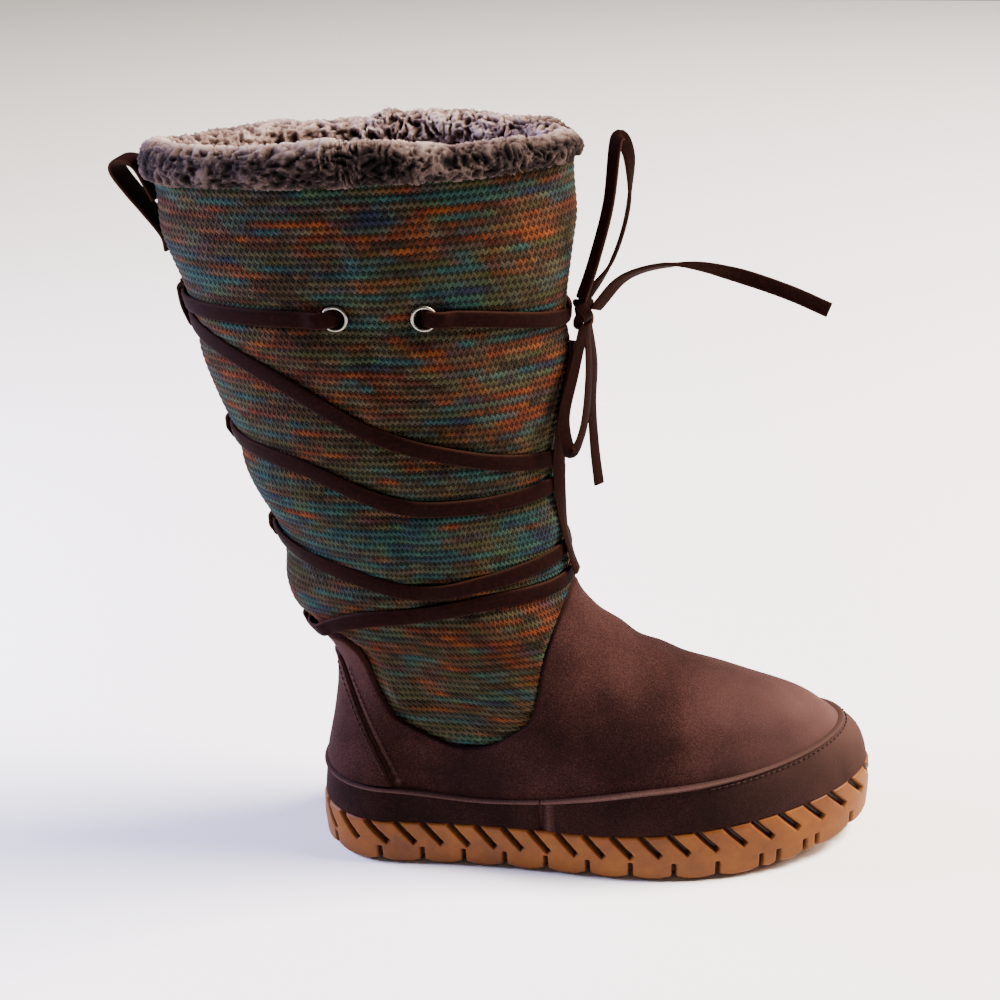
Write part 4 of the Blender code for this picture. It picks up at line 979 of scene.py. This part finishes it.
def up_counter_seam(heights, ahead, side):
    """Turns of a line up the foot, a distance ahead of the counter's front edge."""
    return np.array([turn_on(counter_edge(z) + ahead, z, side) for z in heights])


toe_start, toe_end = (turn_on(0.70 * LENGTH, down_rand(0.0), side) for side in (-1, 1))
stitch_row("toe_stitches", *laid(np.linspace(toe_start, toe_end, 500), down_rand(0.0025),
                                 OVER_SUEDE + 0.0012), 0.0030, 0.0022, 0.0007)
heights = np.linspace(0.049, 0.101, 200)
for word, side in (("outer", -1), ("inner", 1)):
    for leather, ahead, out in (("counter", -0.0028, OVER_SUEDE + 0.0009),
                                ("quarter", 0.0034, GAP + SUEDE)):
        turn = np.interp(heights, heights[::10], up_counter_seam(heights[::10], ahead, side))
        stitch_row(f"{leather}_stitches_{word}", *laid(turn, heights, out), 0.0029, 0.0021,
                   0.0006)

# %% [markdown]
# The sole is one moulding. Slanted notches are cut in its side from the top edge down, and
# upright sipes cross it from below. Both are made by moving the points of a dense grid
# inwards, with soft shoulders, because a moulded edge is never sharp.

# %% Where the sole's edge is cut
NOTCH_PITCH = 0.014
NOTCH_LENGTH = 0.0150
NOTCH_WIDTH = 0.0027
NOTCH_DEPTH = 0.0032
NOTCH_LEAN = math.radians(42.0)  # from upright
SIPE_PITCH = 0.0203
SIPE_START = 0.0135  # x of the first sipe
SIPE_HEIGHT = 0.0105
SIPE_WIDTH = 0.0018
SIPE_DEPTH = 0.0034
TOE_SIPES = (-0.062, -0.042, -0.021, 0.0, 0.021, 0.042)  # along the edge from the toe's tip
SHOULDER = 0.0004  # how far the soft shoulder of a cut reaches past its side

fine = np.arange(4000) / 4000.0
ring = surface(fine, LEVELS[0])[:, :2]
length_at = run_along(np.vstack([ring, ring[:1]]))
perimeter = length_at[-1]
COUNT = 1080
arc = np.arange(COUNT) / COUNT * perimeter
turns = np.interp(arc, length_at, np.append(fine, 1.0))
edge = surface(turns, LEVELS[0])
ahead = surface(turns + 0.002, LEVELS[0]) - surface(turns - 0.002, LEVELS[0])
away = np.stack([ahead[:, 1], -ahead[:, 0], 0.0 * ahead[:, 0]], -1)
away /= np.linalg.norm(away, axis=1, keepdims=True)
rim_length = perimeter + 2.0 * math.pi * SOLE_LEDGE
rim_arc = arc * rim_length / perimeter
notch_count = round(rim_length / NOTCH_PITCH)
pitch = rim_length / notch_count
beside = (rim_arc / pitch - 0.5 - np.round(rim_arc / pitch - 0.5)) * pitch

sipe_x = SIPE_START + SIPE_PITCH * np.arange(12)
sipe_arcs = [length_at[2000] + along for along in TOE_SIPES]
for half in (turns < 0.5, turns >= 0.5):
    order = np.argsort(edge[half, 0])
    sipe_arcs += list(np.interp(sipe_x, edge[half, 0][order], arc[half][order]))
gap_arc = np.abs((arc[:, None] - np.array(sipe_arcs) + 0.5 * perimeter) % perimeter
                 - 0.5 * perimeter).min(1)
print("sole edge", round(rim_length, 3), "m round with", notch_count, "notches")

# %% Gum sole


def sipe_cut(distance):
    """How deep a sipe is at a distance from its middle, as a share."""
    return ease((0.5 * SIPE_WIDTH + SHOULDER - distance) / 0.0007)


def sole_row(out, height, cut_share):
    """A row of the sole's side: how far out, its height by x, and how deep cuts may go."""
    spot = edge + away * out
    z = height(spot[:, 0])
    lean_x, lean_z = math.sin(NOTCH_LEAN), math.cos(NOTCH_LEAN)
    down = sole_top(spot[:, 0]) - z - 0.5 * NOTCH_LENGTH * lean_z
    reach = np.maximum(np.abs(beside * lean_z - down * lean_x) - 0.5 * NOTCH_WIDTH,
                       np.abs(beside * lean_x + down * lean_z) - 0.5 * NOTCH_LENGTH)
    notch = ease((SHOULDER - reach) / 0.0009)
    lift = z - underside(spot[:, 0])
    sipe = sipe_cut(gap_arc) * ease((SIPE_HEIGHT + SHOULDER - lift) / 0.0010)
    inward = cut_share * np.maximum(NOTCH_DEPTH * notch, SIPE_DEPTH * sipe)
    z = z + 0.0019 * bell(gap_arc, 0.0042) * bell(lift, 0.0040)
    moved_in = spot - away * inward[:, None]
    return np.column_stack([moved_in[:, :2], z]), np.clip(np.maximum(notch, sipe), 0.0, 1.0)


def side_height(share):
    """The height, by x, at a share of the way down the sole's side."""
    def height_of(x):
        top, low = sole_top(x) - 0.0016, underside(x) + 0.0042
        return top + (low - top) * share
    return height_of


profile = [(-2.0 * WALL, sole_top, 0.0), (SOLE_LEDGE - 0.0030, sole_top, 1.0)]
for inset, drop in ((0.0016, 0.0001), (0.0008, 0.0005), (0.0004, 0.0010)):
    profile.append((SOLE_LEDGE - inset, lambda x, drop=drop: sole_top(x) - drop, 1.0))
for share in np.linspace(0.0, 1.0, 34):
    belly = 0.0005 * math.sin(math.pi * share)
    profile.append((SOLE_LEDGE - 0.0002 + belly, side_height(share), 1.0))
for out, up in ((0.0048, 0.0032), (0.0044, 0.0022), (0.0037, 0.0013), (0.0027, 0.0006),
                (0.0014, 0.0001), (0.0000, 0.0)):
    profile.append((out, lambda x, up=up: underside(x) + up, 1.0))
sole_grid, cuts = map(list, zip(*[sole_row(*entry) for entry in profile]))
# The underside is filled by strips from side to side, and the sipes run along them.
last_row = sole_grid[-1]
other = last_row[(-np.arange(COUNT)) % COUNT]
for share in np.linspace(0.04, 0.5, 12):
    row_points = last_row + (other - last_row) * share
    groove = sipe_cut(np.abs(row_points[:, 0, None] - sipe_x).min(1))
    row_points[:, 2] = underside(row_points[:, 0]) + SIPE_HEIGHT * groove
    sole_grid.append(row_points)
    cuts.append(groove)
piece("gum_outsole", np.stack(sole_grid), gum_rubber, slot="gum_rubber",
      stands_for=["outsole"], cut=np.stack(cuts))

# %% [markdown]
# The collar shows the boot's lining, a curly pile, rolled over the knit's top edge. Its tufts
# are modelled: a dense roll is pushed out and in by layered noise, rounded like curls.

# %% Fleece cuff and lining
# Vector noise takes its offsets from the clock unless it is given a seed.
noise.seed_set(5)


def curls(points, size):
    """For each point, how high the pile stands there, from 0 to 1: curls, some in clumps."""
    heights = np.empty(len(points))
    for k, p in enumerate(points):
        spot = Vector(p) / size
        bend = noise.noise_vector(spot * 0.55) * 1.1
        coarse = 1.0 - abs(noise.noise(spot + bend)) * 2.2
        small = 1.0 - abs(noise.noise((spot + bend) * 2.4)) * 2.0
        clump = noise.noise(spot * 0.28)
        heights[k] = 0.50 * coarse + 0.36 * small + 0.14 + 0.42 * clump
    return np.clip(heights, 0.0, 1.0)


AROUND = 760
CUFF_RISE = np.array((1.05, 1.36, 1.26, 0.96, 0.66, 0.84, 1.16, 0.92, 1.05))
CURL = 0.0040
PILE = 0.0034  # how far the tufts stand
# The roll's section: how far outside the rim, and how far above it.
ROLL = np.array(((-0.0040, 0.0004), (0.0012, -0.0012), (0.0036, 0.0008), (0.0040, 0.0046),
                 (0.0028, 0.0084), (-0.0010, 0.0114), (-0.0060, 0.0112), (-0.0096, 0.0084),
                 (-0.0116, 0.0036), (-0.0118, -0.0030), (-0.0112, -0.0120),
                 (-0.0100, -0.0220), (-0.0085, -0.0330)))
turns = np.arange(AROUND) / AROUND
eighth = (8.0 * turns).astype(int)
tall = (CUFF_RISE[eighth] + (CUFF_RISE[eighth + 1] - CUFF_RISE[eighth])
        * ease(8.0 * turns - eighth))
rim = surface(turns, COLLAR_HEIGHT)
away_rim = outward(turns, COLLAR_HEIGHT)
away_rim[:, 2] = 0.0
away_rim /= np.linalg.norm(away_rim, axis=1, keepdims=True)
dense = np.linspace(0.0, 1.0, 84)
lump = 0.0008 * np.sin(2 * np.pi * 9 * turns) + 0.0006 * np.sin(2 * np.pi * 5 * turns + 1.0)
cuff_rows = []
for out, up in zip(through(ROLL[:, 0], dense), through(ROLL[:, 1], dense)):
    lift = np.zeros((AROUND, 3))
    lift[:, 2] = max(up, 0.0) * tall + lump * ease(up / 0.006)
    at_rim = surface(turns, COLLAR_HEIGHT + min(up, 0.0))
    cuff_rows.append(at_rim + lift + away_rim * (out + 0.6 * lump[:, None]))
cuff_grid = np.stack(cuff_rows)
facing = np.cross(np.roll(cuff_grid, -1, 1) - np.roll(cuff_grid, 1, 1),
                  np.gradient(cuff_grid, axis=0))
facing /= np.linalg.norm(facing, axis=-1, keepdims=True) + 1e-9
centre_line = rim + away_rim * -0.0045 + np.array([0.0, 0.0, 0.003])
flip = np.sign(((cuff_grid[25] - centre_line) * facing[25]).sum())
pile = curls(cuff_grid.reshape(-1, 3), CURL).reshape(cuff_grid.shape[:2])
fade_in = ease(np.minimum(dense / 0.06, (1.0 - dense) / 0.04))[:, None]
cuff_grid = cuff_grid + flip * facing * ((pile - 0.58) * PILE * fade_in)[..., None]
piece("fleece_roll", cuff_grid, pile_fleece, slot="fleece", stands_for=["fleece_cuff"],
      pile=pile, within=np.repeat(ease((dense - 0.30) / 0.22)[:, None], AROUND, 1))

levels = np.concatenate([np.linspace(COLLAR_HEIGHT - 0.030, 0.060, 90),
                         np.linspace(0.058, LOWEST + 0.004, 20)])
turn_grid, level_grid = np.meshgrid(np.arange(220) / 220.0, levels)
lining = skin(turn_grid, level_grid, -WALL - 0.0006)
lining_pile = curls(lining.reshape(-1, 3), 1.1 * CURL).reshape(lining.shape[:2])
lining = lining - outward(turn_grid, level_grid) * (lining_pile * 0.0030)[..., None]
piece("fleece_lining", lining, pile_fleece, slot="fleece", stands_for=["upper"],
      pile=lining_pile, within=np.ones(lining_pile.shape))

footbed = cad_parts["insole"]
footbed.data.materials.clear()
footbed.data.materials.append(pile_fleece)
print("the footbed keeps its packed shape, with", len(footbed.data.polygons), "faces")

# %% [markdown]
# A flat lace has a rounded rectangle as its section. It is swept along a path that has a
# direction to face at each point, so it can lie flat on the knit or twist in the air. The
# points of its cut edges and of its underside are marked, because raw leather is paler there,
# and the cut edges are painted paler still as a painted highlight.
# Where a lace ends in an eyelet, it climbs the ring and bends down into the hole.

# %% Flat laces
LACE_SECTION = ((-0.50, 0.22), (-0.50, 0.62), (-0.455, 0.90), (-0.36, 1.0), (-0.12, 1.03),
                (0.12, 1.03), (0.36, 1.0), (0.455, 0.90), (0.50, 0.62), (0.50, 0.22),
                (0.44, 0.0), (0.15, 0.0), (-0.15, 0.0), (-0.44, 0.0))
SECTION_RAW_AND_LIT = (0.9, 0.9, 0.25, 0.0, 0.0, 0.0, 0.0, 0.25, 0.9, 0.9, 0.35, 0.35, 0.35, 0.35)


def ribbon(name, path, facing_to, width, thick, closed=False, finish=lace_leather,
           slot="lace_leather", stands_for=(), twist=0.0):
    """A flat strap along a path, its underside on the path, with soft corners."""
    tangent = np.gradient(path, axis=0)
    if closed:
        tangent = np.roll(path, -1, 0) - np.roll(path, 1, 0)
    tangent /= np.linalg.norm(tangent, axis=1, keepdims=True)
    up = facing_to - tangent * (facing_to * tangent).sum(1, keepdims=True)
    up /= np.linalg.norm(up, axis=1, keepdims=True)
    across = np.cross(tangent, up)
    c, s = np.cos(twist)[..., None], np.sin(twist)[..., None]
    across, up = across * c + up * s, up * c - across * s
    rings = np.stack([path + across * (a * width) + up * (b * thick) for a, b in LACE_SECTION], 1)
    n, m = rings.shape[:2]
    faces = grid_faces(n, m, rows_close=closed).tolist()
    if not closed:
        faces += [list(range(m))[::-1], [(n - 1) * m + j for j in range(m)]]
    return finished(name, rings.reshape(-1, 3), faces, finish, stands_for,
                    {"raw_and_lit": np.tile(SECTION_RAW_AND_LIT, n)})


turns = np.arange(240) / 240.0
for number, bar in enumerate(LACE_BARS, start=1):
    level = bar_level(bar, turns)
    flat = surface(turns, level)
    over_foot = ease((suede_edge(flat[:, 0]) + LACE_WIDTH - flat[:, 2]) / 0.003)
    out = LACE_LIES + (SUEDE + GAP) * over_foot
    ribbon(f"lace_round_{number}", skin(turns, level, out), outward(turns, level), LACE_WIDTH,
           LACE_THICK, closed=True, stands_for=[f"lace_bar_{number}"],
           twist=0.10 * np.sin(2 * np.pi * turns * 5 + number))

# %% Laces that end in eyelets
EYELET_CLEAR = 0.0062  # how far from an eyelet's middle a lace starts to climb its ring


def into_eyelet(turn, level, path, normals):
    """Ends a lace in an eyelet: it climbs the ring, bends over its rim and goes inside."""
    clear = np.linalg.norm(path - path[-1], axis=1) > EYELET_CLEAR
    path, normals = path[clear], normals[clear]
    path[-3:] += normals[-3:] * np.array([0.0005, 0.0014, 0.0022])[:, None]
    start, over, hole = path[-1], skin(turn, level, 0.0022), skin(turn, level, -0.0030)
    t = np.linspace(0.0, 1.0, 7)[1:, None]
    bend = (1 - t)**2 * start + 2 * t * (1 - t) * over + t**2 * hole
    out_of = outward(turn, level)
    toward = hole - start
    toward -= out_of * toward.dot(out_of)
    toward /= np.linalg.norm(toward)
    turned = out_of + (toward - out_of) * ease(t) * 0.85
    return np.concatenate([path, bend]), np.concatenate([normals, turned])


rear_outer = eyelets["outer", "rear"][0]
rear_inner = eyelets["inner", "rear"][0] - 1.0
share = np.linspace(0.0, 1.0, 120)
height = LACE_TOP[1] + (LACE_TOP[0] - LACE_TOP[1]) * np.sin(np.pi * share) ** 0.8
path, facing_to = laid(rear_inner + (rear_outer - rear_inner) * share, height * COLLAR_HEIGHT,
                       LACE_LIES)
path, facing_to = into_eyelet(*eyelets["outer", "rear"], path, facing_to)
path, facing_to = into_eyelet(*eyelets["inner", "rear"], path[::-1], facing_to[::-1])
ribbon("lace_round_top", path, facing_to, 0.0072, LACE_THICK, stands_for=["lace_bar_top"])

share = np.linspace(0.0, 1.0, 50)
for side, word in ((-1, "outer"), (1, "inner")):
    leaves = 0.5 + side * TIE_START
    turns = leaves + (eyelets[word, "front"][0] - leaves) * share
    path, facing_to = laid(turns, tie_height(share), LACE_LIES)
    path, facing_to = into_eyelet(*eyelets[word, "front"], path, facing_to)
    ribbon(f"lace_to_knot_{word}", path, facing_to, 0.0070, LACE_THICK,
           stands_for=[f"lace_tie_{word}"])

# %% The lace down the front, and the dark cords that paint the counter seam's shadow
STRAND_TOP = KNOT_HEIGHT - 0.012
STRAND_FOOT = SUEDE_FRONT_TOP + 0.004
share = np.linspace(0.0, 1.0, 60)
height = STRAND_TOP + (STRAND_FOOT - STRAND_TOP) * share
lift = LACE_BASE + LACE_THICK + 0.0008 + 0.0016 * ease((SUEDE_FRONT_TOP + 0.012 - height) / 0.01)
ribbon("lace_down_front", *laid(0.5 - STRAND_TURN * through(STRAND_LINE, share), height, lift),
       0.0068, LACE_THICK, stands_for=["lace_strand_front"], twist=0.30 * np.sin(share * 9.0))

# A thin dark cord in the counter's seam, a painted shadow line, runs down one side of the heel and up
# the other.
heights = np.linspace(0.0455, COUNTER_TOP - 0.001, 40)
for word, side in (("outer", -1), ("inner", 1)):
    ribbon(f"counter_shadow_cord_{word}", *laid(up_counter_seam(heights, 0.0005, side), heights,
                                         GAP + SUEDE - 0.0002), 0.0010, 0.0009, slot="suede")

# %% [markdown]
# Four leather keepers on the back seam hold the rounds, each a short strap sewn down above
# and below its lace. The pull tab is a strap in the lace leather, folded over behind the collar
# and sewn down inside and outside it.

# %% Keepers and pull tab


def upright(points):
    """Directions square to a path that lies in the plane of symmetry, pointing backwards."""
    along_path = np.gradient(points, axis=0)
    square = np.stack([-along_path[:, 2], 0.0 * along_path[:, 0], along_path[:, 0]], 1)
    return square / np.linalg.norm(square, axis=1, keepdims=True)


def curve_through(points, count):
    """Evenly spaced places on a smooth curve through a route's points."""
    points = np.asarray(points, float)
    padded = np.concatenate([[2 * points[0] - points[1]], points,
                             [2 * points[-1] - points[-2]]])
    place = np.linspace(0.0, len(points) - 1.0, count)
    k = np.minimum(place.astype(int), len(points) - 2)
    t = (place - k)[:, None]
    a, b, c, d = padded[k], padded[k + 1], padded[k + 2], padded[k + 3]
    return 0.5 * ((2 * b) + (c - a) * t + (2 * a - 5 * b + 4 * c - d) * t**2
                  + (3 * b - a - 3 * c + d) * t**3)


def on_back(z, out):
    """A point at a height, a distance behind the middle of the boot's back."""
    return skin(0.0, level_on(0.0, z), out)


for number, bar in enumerate(LACE_BARS, start=1):
    low = bar[0] * COLLAR_HEIGHT - 0.5 * LACE_WIDTH
    high = (LACE_TOP[0] if number == 1 else bar[0]) * COLLAR_HEIGHT + 0.5 * LACE_WIDTH
    base = LACE_BASE + (SUEDE + GAP if low < SUEDE_BACK_TOP else 0.0)
    over = base + LACE_THICK + 2.0 * GAP + 0.0003
    climb = ((0.0034, base), (0.0018, base + 0.0003), (0.0006, over - 0.0006), (-0.0012, over))
    route = [on_back(low - past, out) for past, out in climb]
    route.append(on_back(0.5 * (low + high), over + 0.0007))
    route += [on_back(high + past, out) for past, out in climb[::-1]]
    route = curve_through(route, 40)
    ribbon(f"keeper_loop_{number}", route, upright(route), 0.0090, 0.0014,
           stands_for=[f"lace_keeper_{number}"])

TAB_REACH = 0.016  # how far its fold stands out behind the collar
TAB_FOOT = 0.296  # where its outer leg is sewn on
tab_x, _, tab_z = surface(0.0, COLLAR_HEIGHT)
fold = [(tab_x - reach * TAB_REACH, 0.0, tab_z + rise)
        for reach, rise in ((0.28, -0.0165), (0.68, -0.0080), (1.0, 0.0002), (0.90, 0.0036),
                            (0.50, 0.0020))]
route = curve_through([on_back(TAB_FOOT, 3.4 * GAP), on_back(TAB_FOOT + 0.007, 3.7 * GAP)]
                      + fold + [on_back(tab_z - 0.005, 0.0040 + 2.0 * GAP),
                                on_back(tab_z - 0.012, 0.0020 + 2.0 * GAP)], 90)
ribbon("pull_strap", route, upright(route), 0.019, 0.0020, slot="suede",
       stands_for=["pull_tab"])

# %% [markdown]
# The eyelets are steel rings rolled over the knit. A ring's section is swept round: a flat
# outer flange, a rounded crest, and a throat that goes down into the hole.

# %% Eyelets
# The ring's section, from its flange to its throat: how far from its middle, and how far out.
RING = ((0.0057, 0.0002), (0.0058, 0.0007), (0.0056, 0.0012), (0.0052, 0.0016),
        (0.0047, 0.0016), (0.0043, 0.0012), (0.0041, 0.0005), (0.0040, -0.0008),
        (0.0039, -0.0030))
angle = (np.arange(56) / 56.0 * 2.0 * np.pi)[:, None]
for (word, order), (turn, level) in eyelets.items():
    middle = skin(turn, level, 0.0004)
    out_of = Vector(outward(turn, level))
    side_way = out_of.cross(Vector((0.0, 0.0, 1.0))).normalized()
    up_way = np.array(side_way.cross(out_of))
    grid = [middle + np.cos(angle) * radius * np.array(side_way) + np.sin(angle) * radius * up_way
            + rise * np.array(out_of) for radius, rise in RING]
    piece(f"steel_eyelet_{word}_{order}", np.stack(grid), satin_steel, slot="steel",
          stands_for=[f"eyelet_{word}_{order}"])

# %% [markdown]
# The bow hangs at the front: a loop that stands up, a loop that hangs, and two free ends. Each
# is a flat lace of the photograph's length that leaves the knot. The forward end turns from
# its edge to its face on the way, as flat leather does.

# %% Bow and knot
KNOT_X = skin(0.5, level_on(0.5, KNOT_HEIGHT), LACE_BASE + LACE_THICK)[0]
KNOT_HALF = 0.0048  # half the knot's depth
BOW_THICK = 0.0016
BOW = np.array([KNOT_X + KNOT_HALF + GAP, 0.0, KNOT_HEIGHT])  # the middle of the knot


def bow_lace(name, route, count, faces_to, width, node):
    """A free flat lace along a route from the knot.

    The route counts from the knot's middle. faces_to lists places along it, from 0 to 1, and
    the direction its face has there.
    """
    path = curve_through(BOW + np.array(route), count)
    share = np.linspace(0.0, 1.0, count)
    places = [place for place, _ in faces_to]
    facing_to = np.stack([np.interp(share, places, [way[k] for _, way in faces_to])
                          for k in range(3)], 1)
    made = ribbon(name, path, facing_to, width, BOW_THICK, stands_for=[node])


# Directions as the camera sees a lace: its face, or only its cut edge.
FACE_ON = (0.03, -0.918, 0.396)
EDGE_UP = (0.0, 0.396, 0.918)
EDGE_AHEAD = (0.98, 0.08, 0.12)
bow_lace("bow_standing_loop", (
    (0.0, -0.0024, 0.0063), (0.006, -0.007, 0.024), (0.013, -0.010, 0.050),
    (0.0165, -0.009, 0.077), (0.0205, -0.001, 0.068), (0.019, 0.005, 0.044),
    (0.012, 0.005, 0.022), (0.001, 0.0024, 0.0063),
), 100, ((0.0, (-0.5, -0.8, 0.3)), (0.30, (-0.6, -0.7, 0.3)), (0.42, (-0.5, -0.85, 0.1)),
         (0.50, (0.1, -0.9, 0.5)), (0.58, (0.7, -0.7, 0.2)), (0.68, EDGE_AHEAD),
         (0.85, EDGE_AHEAD), (1.0, (0.8, -0.4, 0.2))),
   0.0062, "bow_loop_up")
bow_lace("bow_hanging_loop", (
    (0.0, -0.0034, -0.0059), (-0.004, -0.014, -0.024), (-0.008, -0.021, -0.043),
    (-0.005, -0.022, -0.058), (0.0, -0.017, -0.048), (0.002, -0.009, -0.027),
    (0.001, 0.0004, -0.0067),
), 90, ((0.0, (0.8, -0.6, 0.0)), (0.4, (0.6, -0.8, -0.2)), (0.5, (0.3, -0.8, -0.5)),
        (0.60, (0.95, -0.3, 0.1)), (1.0, (0.98, -0.2, 0.1))),
   0.0060, "bow_loop_hanging")
bow_lace("bow_forward_end", (
    (0.0058, -0.001, 0.0010), (0.020, -0.010, 0.018), (0.042, -0.020, 0.026),
    (0.066, -0.026, 0.024), (0.088, -0.030, 0.018), (0.106, -0.033, 0.011),
), 90, ((0.0, EDGE_UP), (0.36, EDGE_UP), (0.50, (0.02, -0.35, 0.93)), (0.66, FACE_ON),
        (1.0, FACE_ON)),
   0.0064, "lace_end_forward")
bow_lace("bow_hanging_end", (
    (0.001, 0.0044, -0.0052), (0.003, 0.009, -0.026), (0.002, 0.009, -0.046),
    (0.003, 0.007, -0.066), (0.005, 0.005, -0.084),
), 60, ((0.0, (0.95, -0.3, 0.2)), (0.5, (0.9, -0.4, 0.1)), (1.0, (0.8, -0.6, 0.0))),
   0.0062, "lace_end_hanging")

# The knot is a trefoil, the simplest curve that is truly tied.
t = np.linspace(0.0, 2.0 * np.pi, 91)[:-1]
trefoil = np.stack([0.0011 * -np.sin(3 * t) * 1.8, 0.00215 * (np.sin(t) + 2 * np.sin(2 * t)),
                    0.0021 * (np.cos(t) - 2 * np.cos(2 * t))], 1) + BOW
outwards = trefoil - trefoil.mean(0)
outwards[:, 0] += 0.002
ribbon("bow_knot", trefoil, outwards, 0.0046, 0.0019, closed=True, stands_for=["lace_knot"])

# %% [markdown]
# The boot stands on a plain pale floor under soft studio light. The main light is large, above
# and beyond the toe, so that the side towards the camera is the darker one. Two small lights
# tint it: a warm one from the toe's side and a cool one from the heel's side.

# %% Floor and lights
floor_mesh = bpy.data.meshes.new("floor")
far = 4.0  # metres, well out of the camera's view
floor_mesh.from_pydata([(-far, -far, 0.0), (far, -far, 0.0), (far, far, 0.0), (-far, far, 0.0)],
                       [], [(0, 1, 2, 3)])
floor = bpy.data.objects.new("floor", floor_mesh)
bpy.context.scene.collection.objects.link(floor)
pale, tree, shader = new_material("pale_paper_floor", Roughness=0.9, Base_Color="#f6f5f3")
floor_mesh.materials.append(pale)


def softbox(name, place, target, size, watts, code):
    data = bpy.data.lights.new(name, "AREA")
    data.shape = "DISK"
    data.size = size
    data.energy = watts
    data.color = linear(code)[:3]
    lamp = bpy.data.objects.new(name, data)
    lamp.location = place
    lamp.rotation_euler = (Vector(target) - Vector(place)).to_track_quat("-Z", "Y").to_euler()
    bpy.context.scene.collection.objects.link(lamp)


softbox("key_above", (2.30, 0.30, 3.30), (0.0, 0.0, 0.12), 1.6, 800.0, "#fff3e8")
softbox("warm_toe_side", (1.30, 0.10, 0.75), (0.05, 0.0, 0.14), 0.5, 20.0, "#ffdcc0")
softbox("cool_heel_side", (-1.10, 0.05, 0.60), (0.0, 0.0, 0.20), 0.6, 52.0, "#cfceff")
world = bpy.data.worlds.new("studio")
world.use_nodes = True
fill(world.node_tree.nodes["Background"], {"Color": "#f6f6f8", "Strength": 0.13})
bpy.context.scene.world = world
print("floor and", len(bpy.data.lights), "lights")
